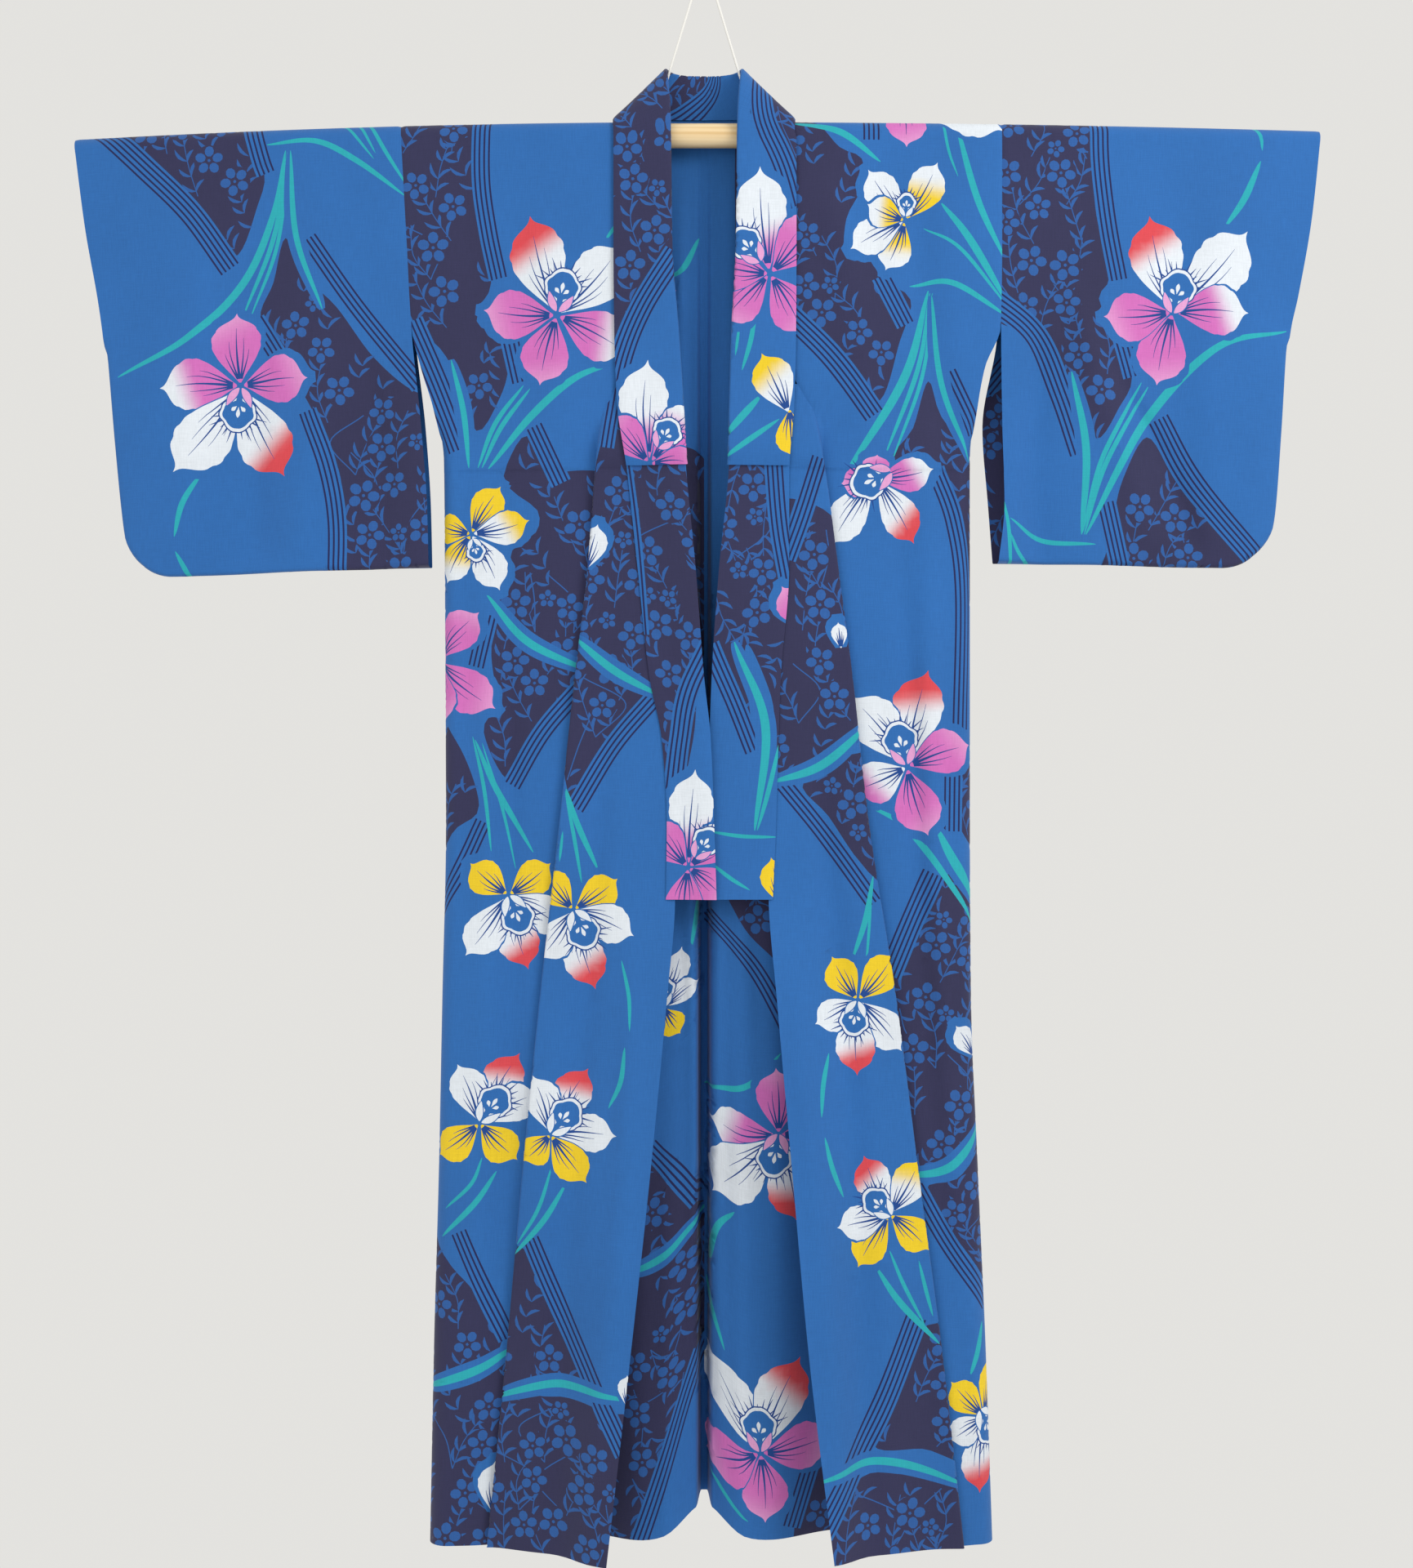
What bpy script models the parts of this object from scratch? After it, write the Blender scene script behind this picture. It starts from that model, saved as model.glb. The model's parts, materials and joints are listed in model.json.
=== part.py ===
"""A cotton yukata robe, hung open on a wooden rod that a cord carries.

Metres, +Z up, the robe's front towards -Y. The origin is the top of the cord, where a hook holds it.
Heights on the cloth are given as a drop below the shoulder ridge, and widths as a distance from the
robe's middle. Each panel is a middle surface that is then given its thickness.
"""

import math

import bpy
import numpy as np

# Walls and the space between pieces
CLOTH = 0.0015
COLLAR_CLOTH = 0.0020
COVER_CLOTH = 0.0012
GAP = 0.0003
ROD_GAP = 0.0005
LAID_GAP = 0.0005

# Hanging
SHOULDER_Z = -0.162
ROD_RADIUS = 0.0125
ROD_ENDS = (-0.635, 0.620)
CORD_RADIUS = 0.0014
CORD_AT_ROD = 0.050
CORD_BEND = 0.0048
CORD_LEAN = math.radians(17.3)

# Robe, drops below the shoulder ridge
ARMHOLE = 0.215
SIDE_OPENING = 0.353
TUCK = 0.366
OVERLAP_TOP = 0.275
COLLAR_END = 0.816
COVER_END = 0.364
HEM = 1.487
NECK_POINT = 0.0846
COLLAR_WIDTH_ON_PANEL = 0.009

# The rod bows by this much for each metre squared from its middle
BOW = {"left": 0.043, "right": 0.0235}
SIGN = {"left": -1.0, "right": 1.0}

RIDGE = ROD_RADIUS + ROD_GAP + CLOTH / 2
ROD_Z = SHOULDER_Z - RIDGE
ON_PANEL = CLOTH / 2 + LAID_GAP + COLLAR_CLOTH / 2

# Half width of the body and where the overlap is sewn on, seen from the front
BODY_COLUMNS = ("drop", "side", "seam")
BODY = {
    "left": [
        (0.000, 0.318, 0.0846),
        (0.129, 0.311, 0.0846),
        (0.215, 0.306, 0.0846),
        (0.258, 0.296, 0.0855),
        (0.301, 0.283, 0.1006),
        (0.353, 0.274, 0.1120),
        (0.473, 0.273, 0.1220),
        (0.584, 0.2724, 0.135),
        (0.736, 0.2718, 0.151),
        (0.916, 0.2755, 0.171),
        (1.096, 0.279, 0.189),
        (1.281, 0.284, 0.2055),
        (1.487, 0.288, 0.226),
    ],
    "right": [
        (0.000, 0.312, 0.0866),
        (0.129, 0.312, 0.0866),
        (0.215, 0.3105, 0.0870),
        (0.258, 0.294, 0.0900),
        (0.301, 0.286, 0.1100),
        (0.353, 0.280, 0.1240),
        (0.473, 0.280, 0.1405),
        (0.584, 0.280, 0.155),
        (0.736, 0.280, 0.172),
        (0.916, 0.281, 0.200),
        (1.096, 0.288, 0.223),
        (1.281, 0.296, 0.247),
        (1.487, 0.303, 0.270),
    ],
}

# Collar band: sewn edge and free edge, then the overlap's front edge below the collar
BAND_COLUMNS = ("drop", "sewn", "free")
BAND = {
    "left": [
        (0.000, 0.0946, 0.0365),
        (0.130, 0.0946, 0.0350),
        (0.232, 0.0936, 0.0275),
        (0.301, 0.0905, 0.0230),
        (0.364, 0.0810, 0.0190),
        (0.473, 0.0690, 0.0086),
        (0.584, 0.0570, 0.0000),
        (0.650, 0.0440, -0.0070),
        (0.736, 0.0387, -0.0105),
        (0.816, 0.0396, -0.0130),
    ],
    "right": [
        (0.000, 0.0966, 0.0365),
        (0.130, 0.0966, 0.0350),
        (0.232, 0.0960, 0.0300),
        (0.301, 0.0940, 0.0280),
        (0.364, 0.0890, 0.0260),
        (0.473, 0.0886, 0.0155),
        (0.584, 0.0800, 0.0080),
        (0.650, 0.0775, 0.0060),
        (0.736, 0.0750, 0.0090),
        (0.816, 0.0714, 0.0110),
    ],
}
OVERLAP_COLUMNS = ("drop", "front", "reach")
OVERLAP = {
    "left": [
        (0.275, 0.0830, 0.000),
        (0.353, 0.0735, 0.008),
        (0.473, 0.0600, 0.009),
        (0.584, 0.0480, 0.010),
        (0.736, 0.0297, 0.012),
        (0.816, 0.0300, 0.016),
        (0.916, 0.0380, 0.023),
        (1.096, 0.0550, 0.040),
        (1.281, 0.0750, 0.054),
        (1.487, 0.0985, 0.066),
    ],
    "right": [
        (0.275, 0.0855, 0.000),
        (0.353, 0.0805, 0.008),
        (0.473, 0.0796, 0.009),
        (0.584, 0.0710, 0.010),
        (0.736, 0.0660, 0.012),
        (0.816, 0.0670, 0.016),
        (0.916, 0.0750, 0.023),
        (1.096, 0.0905, 0.038),
        (1.281, 0.1070, 0.050),
        (1.487, 0.1320, 0.058),
    ],
}

# Depth of the body: front wall, back wall at the side, the soft bulge of the back and its middle groove
DEPTH_COLUMNS = ("drop", "front", "back", "bulge", "groove")
DEPTH = [
    (0.0136, 0.01375, 0.01375, 0.000, 0.001),
    (0.120, 0.01375, 0.01375, 0.001, 0.004),
    (0.300, 0.0138, 0.0140, 0.004, 0.009),
    (0.500, 0.0145, 0.0150, 0.012, 0.022),
    (0.736, 0.0155, 0.0160, 0.020, 0.032),
    (0.916, 0.0175, 0.0170, 0.027, 0.038),
    (1.096, 0.0195, 0.0175, 0.032, 0.042),
    (1.487, 0.0230, 0.0180, 0.036, 0.046),
]

# The pleat that hides the spare width of the front panel under the overlap: how far it is turned,
# in degrees, and the length of its straight middle
PLEAT_COLUMNS = ("drop", "turn", "middle")
PLEAT_TURNS = [
    (0.275, 0.0, 0.002),
    (0.301, 0.0, 0.002),
    (0.318, 40.0, 0.002),
    (0.335, 85.0, 0.002),
    (0.353, 135.0, 0.003),
    (0.366, 180.0, 0.006),
    (0.387, 180.0, 0.014),
    (0.430, 180.0, 0.026),
    (0.500, 180.0, 0.038),
]
PLEAT_ARC = 0.0063
FRONT_WIDTH = 0.242

ROWS = [0.060, 0.120, 0.170, 0.215, 0.250, 0.275, 0.301, 0.318, 0.335, 0.353]
ROWS += [COVER_END, TUCK + 0.0020, 0.387, 0.430, 0.500, 0.584, 0.660, 0.736, COLLAR_END]
ROWS += [0.916, 1.006, 1.096, 1.190, 1.281, 1.384, HEM]
ARC_STEPS = 5

# Sleeves: half width at the body's side and at the hand, front and back walls
SLEEVE_COLUMNS = ("drop", "front_in", "back_in", "out", "gap")
SLEEVE = {
    "left": [
        (0.000, 0.3183, 0.3183, 0.660, 0.01355),
        (0.094, 0.3131, 0.3131, 0.648, 0.01355),
        (0.176, 0.3086, 0.3086, 0.634, 0.0130),
        (0.215, 0.3063, 0.3063, 0.629, 0.0125),
        (0.317, 0.2960, 0.2950, 0.621, 0.0090),
        (0.400, 0.2900, 0.2895, 0.613, 0.0065),
        (0.466, 0.2880, 0.2880, 0.603, 0.0050),
    ],
    "right": [
        (0.000, 0.3123, 0.3123, 0.646, 0.01355),
        (0.094, 0.3123, 0.3123, 0.636, 0.01355),
        (0.176, 0.3115, 0.3115, 0.622, 0.0130),
        (0.215, 0.3108, 0.3108, 0.614, 0.0125),
        (0.317, 0.3120, 0.2950, 0.608, 0.0090),
        (0.400, 0.3145, 0.3010, 0.602, 0.0065),
        (0.463, 0.3080, 0.3060, 0.590, 0.0050),
    ],
}
HAND_OPENING = 0.235
SLEEVE_CORNER = 0.042
EDGE_ROLL = 0.004
SLEEVE_ROWS = [0.060, 0.120, 0.170, 0.215, 0.240, 0.285, 0.335, 0.380, 0.418, 0.440]
SLEEVE_ACROSS = (0.0, 0.12, 0.26, 0.41, 0.56, 0.71, 0.87, 0.94, 1.0)
SLEEVE_WAVE = 0.004

COLLAR_ACROSS = (0.0, 0.16, 0.42, 0.71, 1.0)
BACK_MIDDLE = (0.072, 0.050, 0.028, 0.014, 0.0085, 0.0050, 0.0030, GAP / 2)

COLLAR_STATIONS = [0.060, 0.120, 0.170, 0.215, 0.250, 0.275, 0.301, 0.318, 0.335, 0.353]
COLLAR_STATIONS += [COVER_END, 0.387, 0.430, 0.500, 0.584, 0.660, 0.736, COLLAR_END]

# Round the neck, from the front of the shoulder to the middle of the nape. The sewn edge turns over
# the ridge by an angle, then runs along the nape. The free edge rises, turns and runs above it.
NECK_COLUMNS = ("turn", "sewn_x", "sewn_drop", "free_x", "free_y", "free_rise")
NECK = [
    (-90.0, 0.0946, None, 0.0366, -0.0206, -0.004),
    (-72.0, 0.0948, None, 0.0370, -0.0198, 0.012),
    (-54.0, 0.0950, None, 0.0380, -0.0182, 0.027),
    (-36.0, 0.0950, None, 0.0390, -0.0150, 0.039),
    (-18.0, 0.0950, None, 0.0400, -0.0100, 0.048),
    (0.0, 0.0948, None, 0.0405, -0.0040, 0.0530),
    (18.0, 0.0946, None, 0.0402, 0.0020, 0.0555),
    (36.0, 0.0944, None, 0.0388, 0.0080, 0.0562),
    (54.0, 0.0940, None, 0.0362, 0.0130, 0.0562),
    (72.0, 0.0934, None, 0.0322, 0.0170, 0.0560),
    (90.0, 0.0928, None, 0.0285, 0.0190, 0.0558),
    (90.0, 0.0860, 0.0205, 0.0245, 0.0200, 0.0554),
    (90.0, 0.0720, 0.0230, 0.0205, 0.0206, 0.0550),
    (90.0, 0.0500, 0.0240, 0.0140, 0.0212, 0.0547),
    (90.0, 0.0280, 0.0240, 0.0075, 0.0214, 0.0545),
    (90.0, 0.0000, 0.0240, 0.0000, 0.0214, 0.0544),
]


def column(columns, rows, name, at):
    """One column of a table at a drop, on a smooth curve through its rows."""
    xs = np.array([row[0] for row in rows])
    ys = np.array([row[columns.index(name)] for row in rows])
    at = min(max(at, xs[0]), xs[-1])
    i = min(max(int(np.searchsorted(xs, at)) - 1, 0), len(xs) - 2)
    slopes = np.diff(ys) / np.diff(xs)
    ends = [slopes[max(i - 1, 0)], slopes[i], slopes[min(i + 1, len(slopes) - 1)]]
    m0 = 0.0 if ends[0] * ends[1] <= 0 else 2 * ends[0] * ends[1] / (ends[0] + ends[1])
    m1 = 0.0 if ends[1] * ends[2] <= 0 else 2 * ends[1] * ends[2] / (ends[1] + ends[2])
    h = xs[i + 1] - xs[i]
    t = (at - xs[i]) / h
    value = (2 * t**3 - 3 * t**2 + 1) * ys[i] + (t**3 - 2 * t**2 + t) * h * m0
    value += (3 * t**2 - 2 * t**3) * ys[i + 1] + (t**3 - t**2) * h * m1
    return float(value)


def ramp(low, high, at):
    """0 below low, 1 above high, smooth between."""
    t = min(max((at - low) / (high - low), 0.0), 1.0)
    return t * t * (3 - 2 * t)


def mix(a, b, t):
    return a + (b - a) * t


def height(side, half, drop):
    return SHOULDER_Z - BOW[side] * half * half - drop


def over_ridge(depth, drop):
    """Depth of a wall near the ridge, where the cloth bends over the rod."""
    if drop >= RIDGE:
        return depth
    return math.sqrt(max(RIDGE**2 - (RIDGE - drop) ** 2, 0.0))


def arc_drops():
    steps = [90 / ARC_STEPS * i for i in range(ARC_STEPS + 1)]
    return [RIDGE * (1 - math.cos(math.radians(a))) for a in steps]


BODY_ROWS = arc_drops() + ROWS


def body_at(side, name, drop):
    return column(BODY_COLUMNS, BODY[side], name, drop)


def depth_at(name, drop):
    return column(DEPTH_COLUMNS, DEPTH, name, drop)


def front_depth(drop):
    """How far the front wall lies before the rod's middle. Under the waist tuck it steps back."""
    step = 0.0015 * (ramp(TUCK - 0.0015, TUCK + 0.002, drop) - ramp(0.387, 0.47, drop))
    return over_ridge(depth_at("front", drop), drop) - step


def side_closed(drop):
    return ramp(0.301, SIDE_OPENING, drop)


def side_turn(side, drop, angle, face):
    """Half width and depth where the wall turns round the body's side. face is -1 for the front."""
    edge = body_at(side, "side", drop)
    front = front_depth(drop)
    back = over_ridge(depth_at("back", drop), drop)
    radius = (depth_at("front", drop) + depth_at("back", drop)) / 2
    middle = (back - front) / 2
    open_at = edge - radius * angle / 90, face * (front if face < 0 else back)
    a = math.radians(angle)
    closed_at = edge - radius * (1 - math.cos(a)), middle + face * radius * math.sin(a)
    t = side_closed(drop)
    return mix(open_at[0], closed_at[0], t), mix(open_at[1], closed_at[1], t)


def pleat_point(turn, middle, arc, along):
    """A point along the pleat: an arc, a straight middle and an arc back, as (inward, forward)."""
    bend = math.radians(turn)
    x = y = 0.0
    if bend < 1e-6:
        return along, 0.0
    radius = arc / bend
    first = min(along, arc)
    x += radius * math.sin(first / radius)
    y += radius * (1 - math.cos(first / radius))
    straight = min(max(along - arc, 0.0), middle)
    x += straight * math.cos(bend)
    y += straight * math.sin(bend)
    last = min(max(along - arc - middle, 0.0), arc) / radius
    x += radius * (math.sin(bend) - math.sin(bend - last))
    y += radius * (math.cos(bend - last) - math.cos(bend))
    return x, y


def pleat(side, drop):
    """Turn, straight middle and arc length of the pleat at a drop."""
    turn = column(PLEAT_COLUMNS, PLEAT_TURNS, "turn", drop)
    middle = column(PLEAT_COLUMNS, PLEAT_TURNS, "middle", drop)
    shown = body_at(side, "side", drop) - body_at(side, "seam", drop)
    lower = ramp(0.50, 0.66, drop)
    middle = mix(middle, (FRONT_WIDTH - shown) / 2, lower)
    arc = PLEAT_ARC * mix(0.25, 1.0, ramp(0.275, 0.318, drop))
    return turn, middle, arc


def pleat_rows(side, drop):
    """Half widths and depths of the pleat's columns, split at the seam between panel and overlap."""
    turn, middle, arc = pleat(side, drop)
    seam = arc + max(middle / 2, middle - 0.004)
    half_gap = GAP * (1.5 if 0 < turn < 180 else 0.5)
    panel_at = [0.0, arc / 2, arc, seam - half_gap]
    overlap_at = [seam + half_gap, arc + middle, 1.5 * arc + middle, 2 * arc + middle]
    anchor, _ = pleat_point(turn, middle, arc, 1.5 * arc + middle)
    edge = body_at(side, "seam", drop)
    if drop < 0.301:
        anchor, _ = pleat_point(turn, middle, arc, seam)

    def placed(along):
        inward, forward = pleat_point(turn, middle, arc, along)
        return edge + anchor - inward, -front_depth(drop) - forward

    return [placed(a) for a in panel_at], [placed(a) for a in overlap_at]


def overlap_depth(side, drop, half):
    """Depth of the overlap's outer wall at a half width, behind which the pleat lies."""
    _, sewn = pleat_rows(side, drop)
    start, depth = sewn[-1]
    front = column(OVERLAP_COLUMNS, OVERLAP[side], "front", drop)
    reach = column(OVERLAP_COLUMNS, OVERLAP[side], "reach", drop)
    q = min(max((start - half) / max(start - front, 1e-6), 0.0), 1.15)
    far = min(depth, -front_depth(drop) - reach)
    return mix(depth, far, q**1.5)


def outer_depth(side, drop, half):
    """Depth of whichever panel lies outermost, for what is laid on it."""
    if drop < OVERLAP_TOP:
        return -front_depth(drop)
    return min(overlap_depth(side, drop, half), -front_depth(drop))


def front_row(side, drop):
    """(panel, overlap): points of one row of the front, from the side to the front edge."""
    panel = [side_turn(side, drop, a, -1) for a in (0, 45, 90)]
    if drop < OVERLAP_TOP:
        inner = body_at(side, "seam", drop)
        pleated = [(inner + step, -front_depth(drop)) for step in (0.012, 0.008, 0.004, 0.0)]
        sewn = []
    else:
        pleated, sewn = pleat_rows(side, drop)
    start = panel[-1][0]
    for t in (0.25, 0.5, 0.75):
        panel.append((mix(start, pleated[0][0], t), -front_depth(drop)))
    panel += pleated
    overlap = list(sewn)
    if sewn:
        front = column(OVERLAP_COLUMNS, OVERLAP[side], "front", drop)
        band = column(BAND_COLUMNS, BAND[side], "sewn", drop)
        band = mix(band, mix(sewn[-1][0], front, 0.75), ramp(COLLAR_END, 1.0, drop))
        band = min(band, mix(sewn[-1][0], front, 0.6))
        for half in (mix(sewn[-1][0], band, 0.35), mix(sewn[-1][0], band, 0.7), band, front):
            overlap.append((half, overlap_depth(side, drop, half)))
    return panel, overlap


def back_depth(half, drop):
    """Depth of the back wall: flat at the side, a soft bulge forward, a deep groove at the middle."""
    base = over_ridge(depth_at("back", drop), drop)
    near_neck = 1 - ramp(0.062, 0.090, half)
    off_rod = 0.0050 * near_neck * ramp(0.004, 0.0136, drop) * (1 - ramp(0.10, 0.40, drop))
    bulge = depth_at("bulge", drop) * ramp(0.004, 0.045, half) * (1 - ramp(0.055, 0.150, half))
    bulge += 0.35 * depth_at("bulge", drop) * (1 - ramp(0.004, 0.045, half))
    groove = depth_at("groove", drop) * (1 - ramp(0.0030, 0.0085, half))
    return base + off_rod - bulge + groove


def back_row(side, drop, columns):
    """Points of one row of the back, from the side to the middle."""
    row = [side_turn(side, drop, a, 1) for a in (0, 45, 90)]
    start = row[-1][0]
    near = mix(NECK_POINT + (0.002 if side == "right" else 0.0), 0.105, ramp(0.02, 0.3, drop))
    shared = columns - len(row)
    for i in range(shared):
        half = mix(start, near, (i + 1) / shared)
        row.append((half, back_depth(half, drop)))
    for half in BACK_MIDDLE:
        row.append((half, back_depth(half, drop)))
    return row


def hem_lift(half, drop):
    """The raised nape lifts the middle of the back."""
    return 0.030 * math.exp(-((half / 0.030) ** 2)) * ramp(0.3, HEM, drop)


class Cloth:
    """Middle surfaces that meet at seams. Faces of owner None only carry normals over a seam."""

    def __init__(self):
        self.points = []
        self.faces = []
        self.owners = []

    def point(self, x, y, z):
        self.points.append((x, y, z))
        return len(self.points) - 1

    def quads(self, owner, grid, flip):
        for upper, lower in zip(grid, grid[1:]):
            for c in range(len(upper) - 1):
                face = [upper[c], lower[c], lower[c + 1], upper[c + 1]]
                if None in face:
                    continue
                for corners in (face[:3], [face[0], face[2], face[3]]):
                    self.faces.append(corners[::-1] if flip else corners)
                    self.owners.append(owner)

    def normals(self):
        points = np.array(self.points)
        total = np.zeros_like(points)
        for face in self.faces:
            p = points[face]
            for corner in range(3):
                to_next = p[(corner + 1) % 3] - p[corner]
                to_last = p[corner - 1] - p[corner]
                normal = np.cross(to_next, to_last)
                size = np.linalg.norm(normal)
                angle = math.atan2(size, float(np.dot(to_next, to_last)))
                total[face[corner]] += normal / max(size, 1e-12) * angle
        lengths = np.linalg.norm(total, axis=1)
        return total / np.maximum(lengths, 1e-12)[:, None]

    def solid(self, owner, thickness, colour):
        """The closed wall of one panel, half its thickness to each side of the middle surface."""
        own = [f for f, who in zip(self.faces, self.owners) if who == owner]
        used = sorted({i for f in own for i in f})
        index = {old: new for new, old in enumerate(used)}
        middle = np.array(self.points)[used]
        away = self.normals()[used] * thickness / 2
        points = [tuple(p) for p in middle + away] + [tuple(p) for p in middle - away]
        outer = [[index[i] for i in f] for f in own]
        inner = [[i + len(used) for i in reversed(f)] for f in outer]
        edges = {}
        for f in outer:
            for a, b in zip(f, f[1:] + f[:1]):
                edges[(a, b)] = edges.get((a, b), 0) + 1
        rim = [
            [b, a, a + len(used), b + len(used)]
            for (a, b) in edges
            if (b, a) not in edges
        ]
        return add_object(owner, points, outer + inner + rim, colour)


def add_object(name, points, faces, colour):
    mesh = bpy.data.meshes.new(name)
    mesh.from_pydata(points, [], faces)
    mesh.validate()
    for polygon in mesh.polygons:
        polygon.use_smooth = True
    made = bpy.data.objects.new(name, mesh)
    material = bpy.data.materials.new(name + "_material")
    material.use_nodes = True
    shader = material.node_tree.nodes["Principled BSDF"]
    shader.inputs["Base Color"].default_value = (*colour, 1.0)
    shader.inputs["Roughness"].default_value = 0.85
    mesh.materials.append(material)
    bpy.context.scene.collection.objects.link(made)
    return made


BLUE = (0.030, 0.140, 0.420)
DARK_BLUE = (0.045, 0.060, 0.200)
WOOD = (0.760, 0.560, 0.330)
WHITE = (0.850, 0.850, 0.820)


def make_body(side):
    """One side of the body, front and back, with its overlap."""
    sign = SIGN[side]
    cloth = Cloth()
    last_arc = ARC_STEPS
    front, back, overlap, bridge = [], [], [], []
    for r, drop in enumerate(BODY_ROWS):
        panel, lapped = front_row(side, drop)
        row = [cloth.point(sign * h, y, height(side, h, drop)) for h, y in panel]
        front.append(row)
        laps = [cloth.point(sign * h, y, height(side, h, drop)) for h, y in lapped]
        overlap.append(laps or [None] * 8)
        bridge.append([row[-1], laps[0] if laps else None])
        behind = []
        for c, (h, y) in enumerate(back_row(side, drop, len(panel))):
            if c < len(panel) and r == 0:
                behind.append(row[c])
            elif c >= len(panel) and r < last_arc:
                behind.append(None)
            elif c == 0 and side_closed(drop) == 1.0:
                behind.append(row[0])
            else:
                z = height(side, h, drop) + hem_lift(h, drop)
                behind.append(cloth.point(sign * h, y, z))
        back.append(behind)
    flip = side == "right"
    cloth.quads("body_" + side, front, flip)
    cloth.quads("body_" + side, back, not flip)
    cloth.quads("overlap_" + side, overlap, flip)
    cloth.quads(None, bridge, flip)
    cloth.solid("body_" + side, CLOTH, BLUE)
    cloth.solid("overlap_" + side, CLOTH, BLUE)


def sleeve_point(side, face, across, drop):
    """A point of a sleeve's inner grid, as (half width, depth, drop). face is -1 for the front."""
    rows = SLEEVE[side]

    def at(name):
        return column(SLEEVE_COLUMNS, rows, name, drop)

    inner = at("front_in" if face < 0 else "back_in")
    if drop <= ARMHOLE:
        inner = body_at(side, "side", drop) + GAP
    outer = at("out") - EDGE_ROLL
    bottom = rows[-1][0] - EDGE_ROLL
    half = mix(inner, outer, across)
    a = (half - (outer - SLEEVE_CORNER)) / SLEEVE_CORNER
    b = (drop - (bottom - SLEEVE_CORNER)) / SLEEVE_CORNER
    low = drop
    if a > 0 and b > 0:
        half = outer - SLEEVE_CORNER + SLEEVE_CORNER * a * math.sqrt(1 - b * b / 2)
        low = bottom - SLEEVE_CORNER + SLEEVE_CORNER * b * math.sqrt(1 - a * a / 2)
    body = front_depth(drop) if face < 0 else over_ridge(depth_at("back", drop), drop)
    gap = mix(body, over_ridge(at("gap"), drop), ramp(0.0, 0.05, half - inner))
    return half, face * gap, low


def sleeve_wave(side, half, drop):
    inner = SLEEVE[side][0][1]
    wave = math.sin(2 * math.pi * (half - inner) / 0.155 + 0.6) * SLEEVE_WAVE
    return wave * ramp(0.10, 0.40, drop) * ramp(0.0, 0.06, half - inner)


def sleeve_ring(side, face, grid):
    """The grid's bottom and hand edges as one path, and two rings outside it that close on the
    other face, but for the hand opening. Returns the three rows and how far each place is shut."""
    path = grid[-1] + [row[-1] for row in grid[-2::-1]]
    flat = np.array([(h, d) for h, _, d in path])
    along = np.gradient(flat, axis=0)
    along /= np.linalg.norm(along, axis=1)[:, None]
    rings = [path]
    closed = []
    for k, (_, _, drop) in enumerate(path):
        at_hand = k >= len(grid[-1])
        closed.append(ramp(ARMHOLE, HAND_OPENING, drop) if at_hand else 1.0)
    for step in (0.75, 1.0):
        ring = []
        narrow = math.sqrt(1 - step * step)
        for (half, y, drop), way, shut in zip(path, along, closed):
            out = EDGE_ROLL * step
            ring.append((half - way[1] * out, y * mix(1.0, narrow, shut), drop + way[0] * out))
        rings.append(ring)
    return rings, closed


def make_sleeve(side):
    sign = SIGN[side]
    cloth = Cloth()
    bottom = SLEEVE[side][-1][0] - EDGE_ROLL
    drops = arc_drops() + SLEEVE_ROWS + [bottom]
    flip = side == "right"
    ridge, hem = [], {}

    def add(point):
        half, y, drop = point
        y += sleeve_wave(side, half, drop)
        return cloth.point(sign * half, y, height(side, half, drop))

    for face in (-1, 1):
        grid = [[sleeve_point(side, face, t, drop) for t in SLEEVE_ACROSS] for drop in drops]
        rings, closed = sleeve_ring(side, face, grid)
        ids = [[add(p) for p in row] for row in grid]
        last = len(rings[0]) - 1
        if face < 0:
            ridge = ids[0]
        ids[0] = ridge
        path = ids[-1] + [row[-1] for row in ids[-2::-1]]
        ring_ids = [path]
        for j, ring in enumerate(rings[1:]):
            row = []
            for k, point in enumerate(ring):
                shared = k == last or (j == 1 and closed[k] == 1.0)
                if shared and (j, k) in hem:
                    row.append(hem[(j, k)])
                    continue
                row.append(add(point))
                if shared:
                    hem[(j, k)] = row[-1]
            ring_ids.append(row)
        outward = (face < 0) != flip
        cloth.quads("sleeve_" + side, ids, outward)
        cloth.quads("sleeve_" + side, ring_ids, outward)
    cloth.solid("sleeve_" + side, CLOTH, BLUE)


def band_station(side, drop):
    """The collar's points across its width at a drop, laid on the panel below it."""
    sewn = column(BAND_COLUMNS, BAND[side], "sewn", drop)
    free = column(BAND_COLUMNS, BAND[side], "free", drop)
    lean = mix(0.0040, 0.0075 if side == "left" else 0.0012, ramp(0.10, 0.55, drop))
    at_seam = outer_depth(side, drop, sewn) - ON_PANEL
    inside = sewn - COLLAR_WIDTH_ON_PANEL
    at_inside = min(outer_depth(side, drop, inside), at_seam + ON_PANEL) - ON_PANEL
    points = []
    for w in COLLAR_ACROSS:
        half = mix(sewn, free, w)
        first = COLLAR_ACROSS[1]
        t = ramp(first, 1.0, w)
        if w <= first:
            half = mix(sewn, inside, w / first)
            y = mix(at_seam, at_inside, w / first)
        else:
            half = mix(inside, free, (w - first) / (1 - first))
            y = at_inside - lean * t
        points.append((half, y, height(side, half, drop)))
    return points


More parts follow.
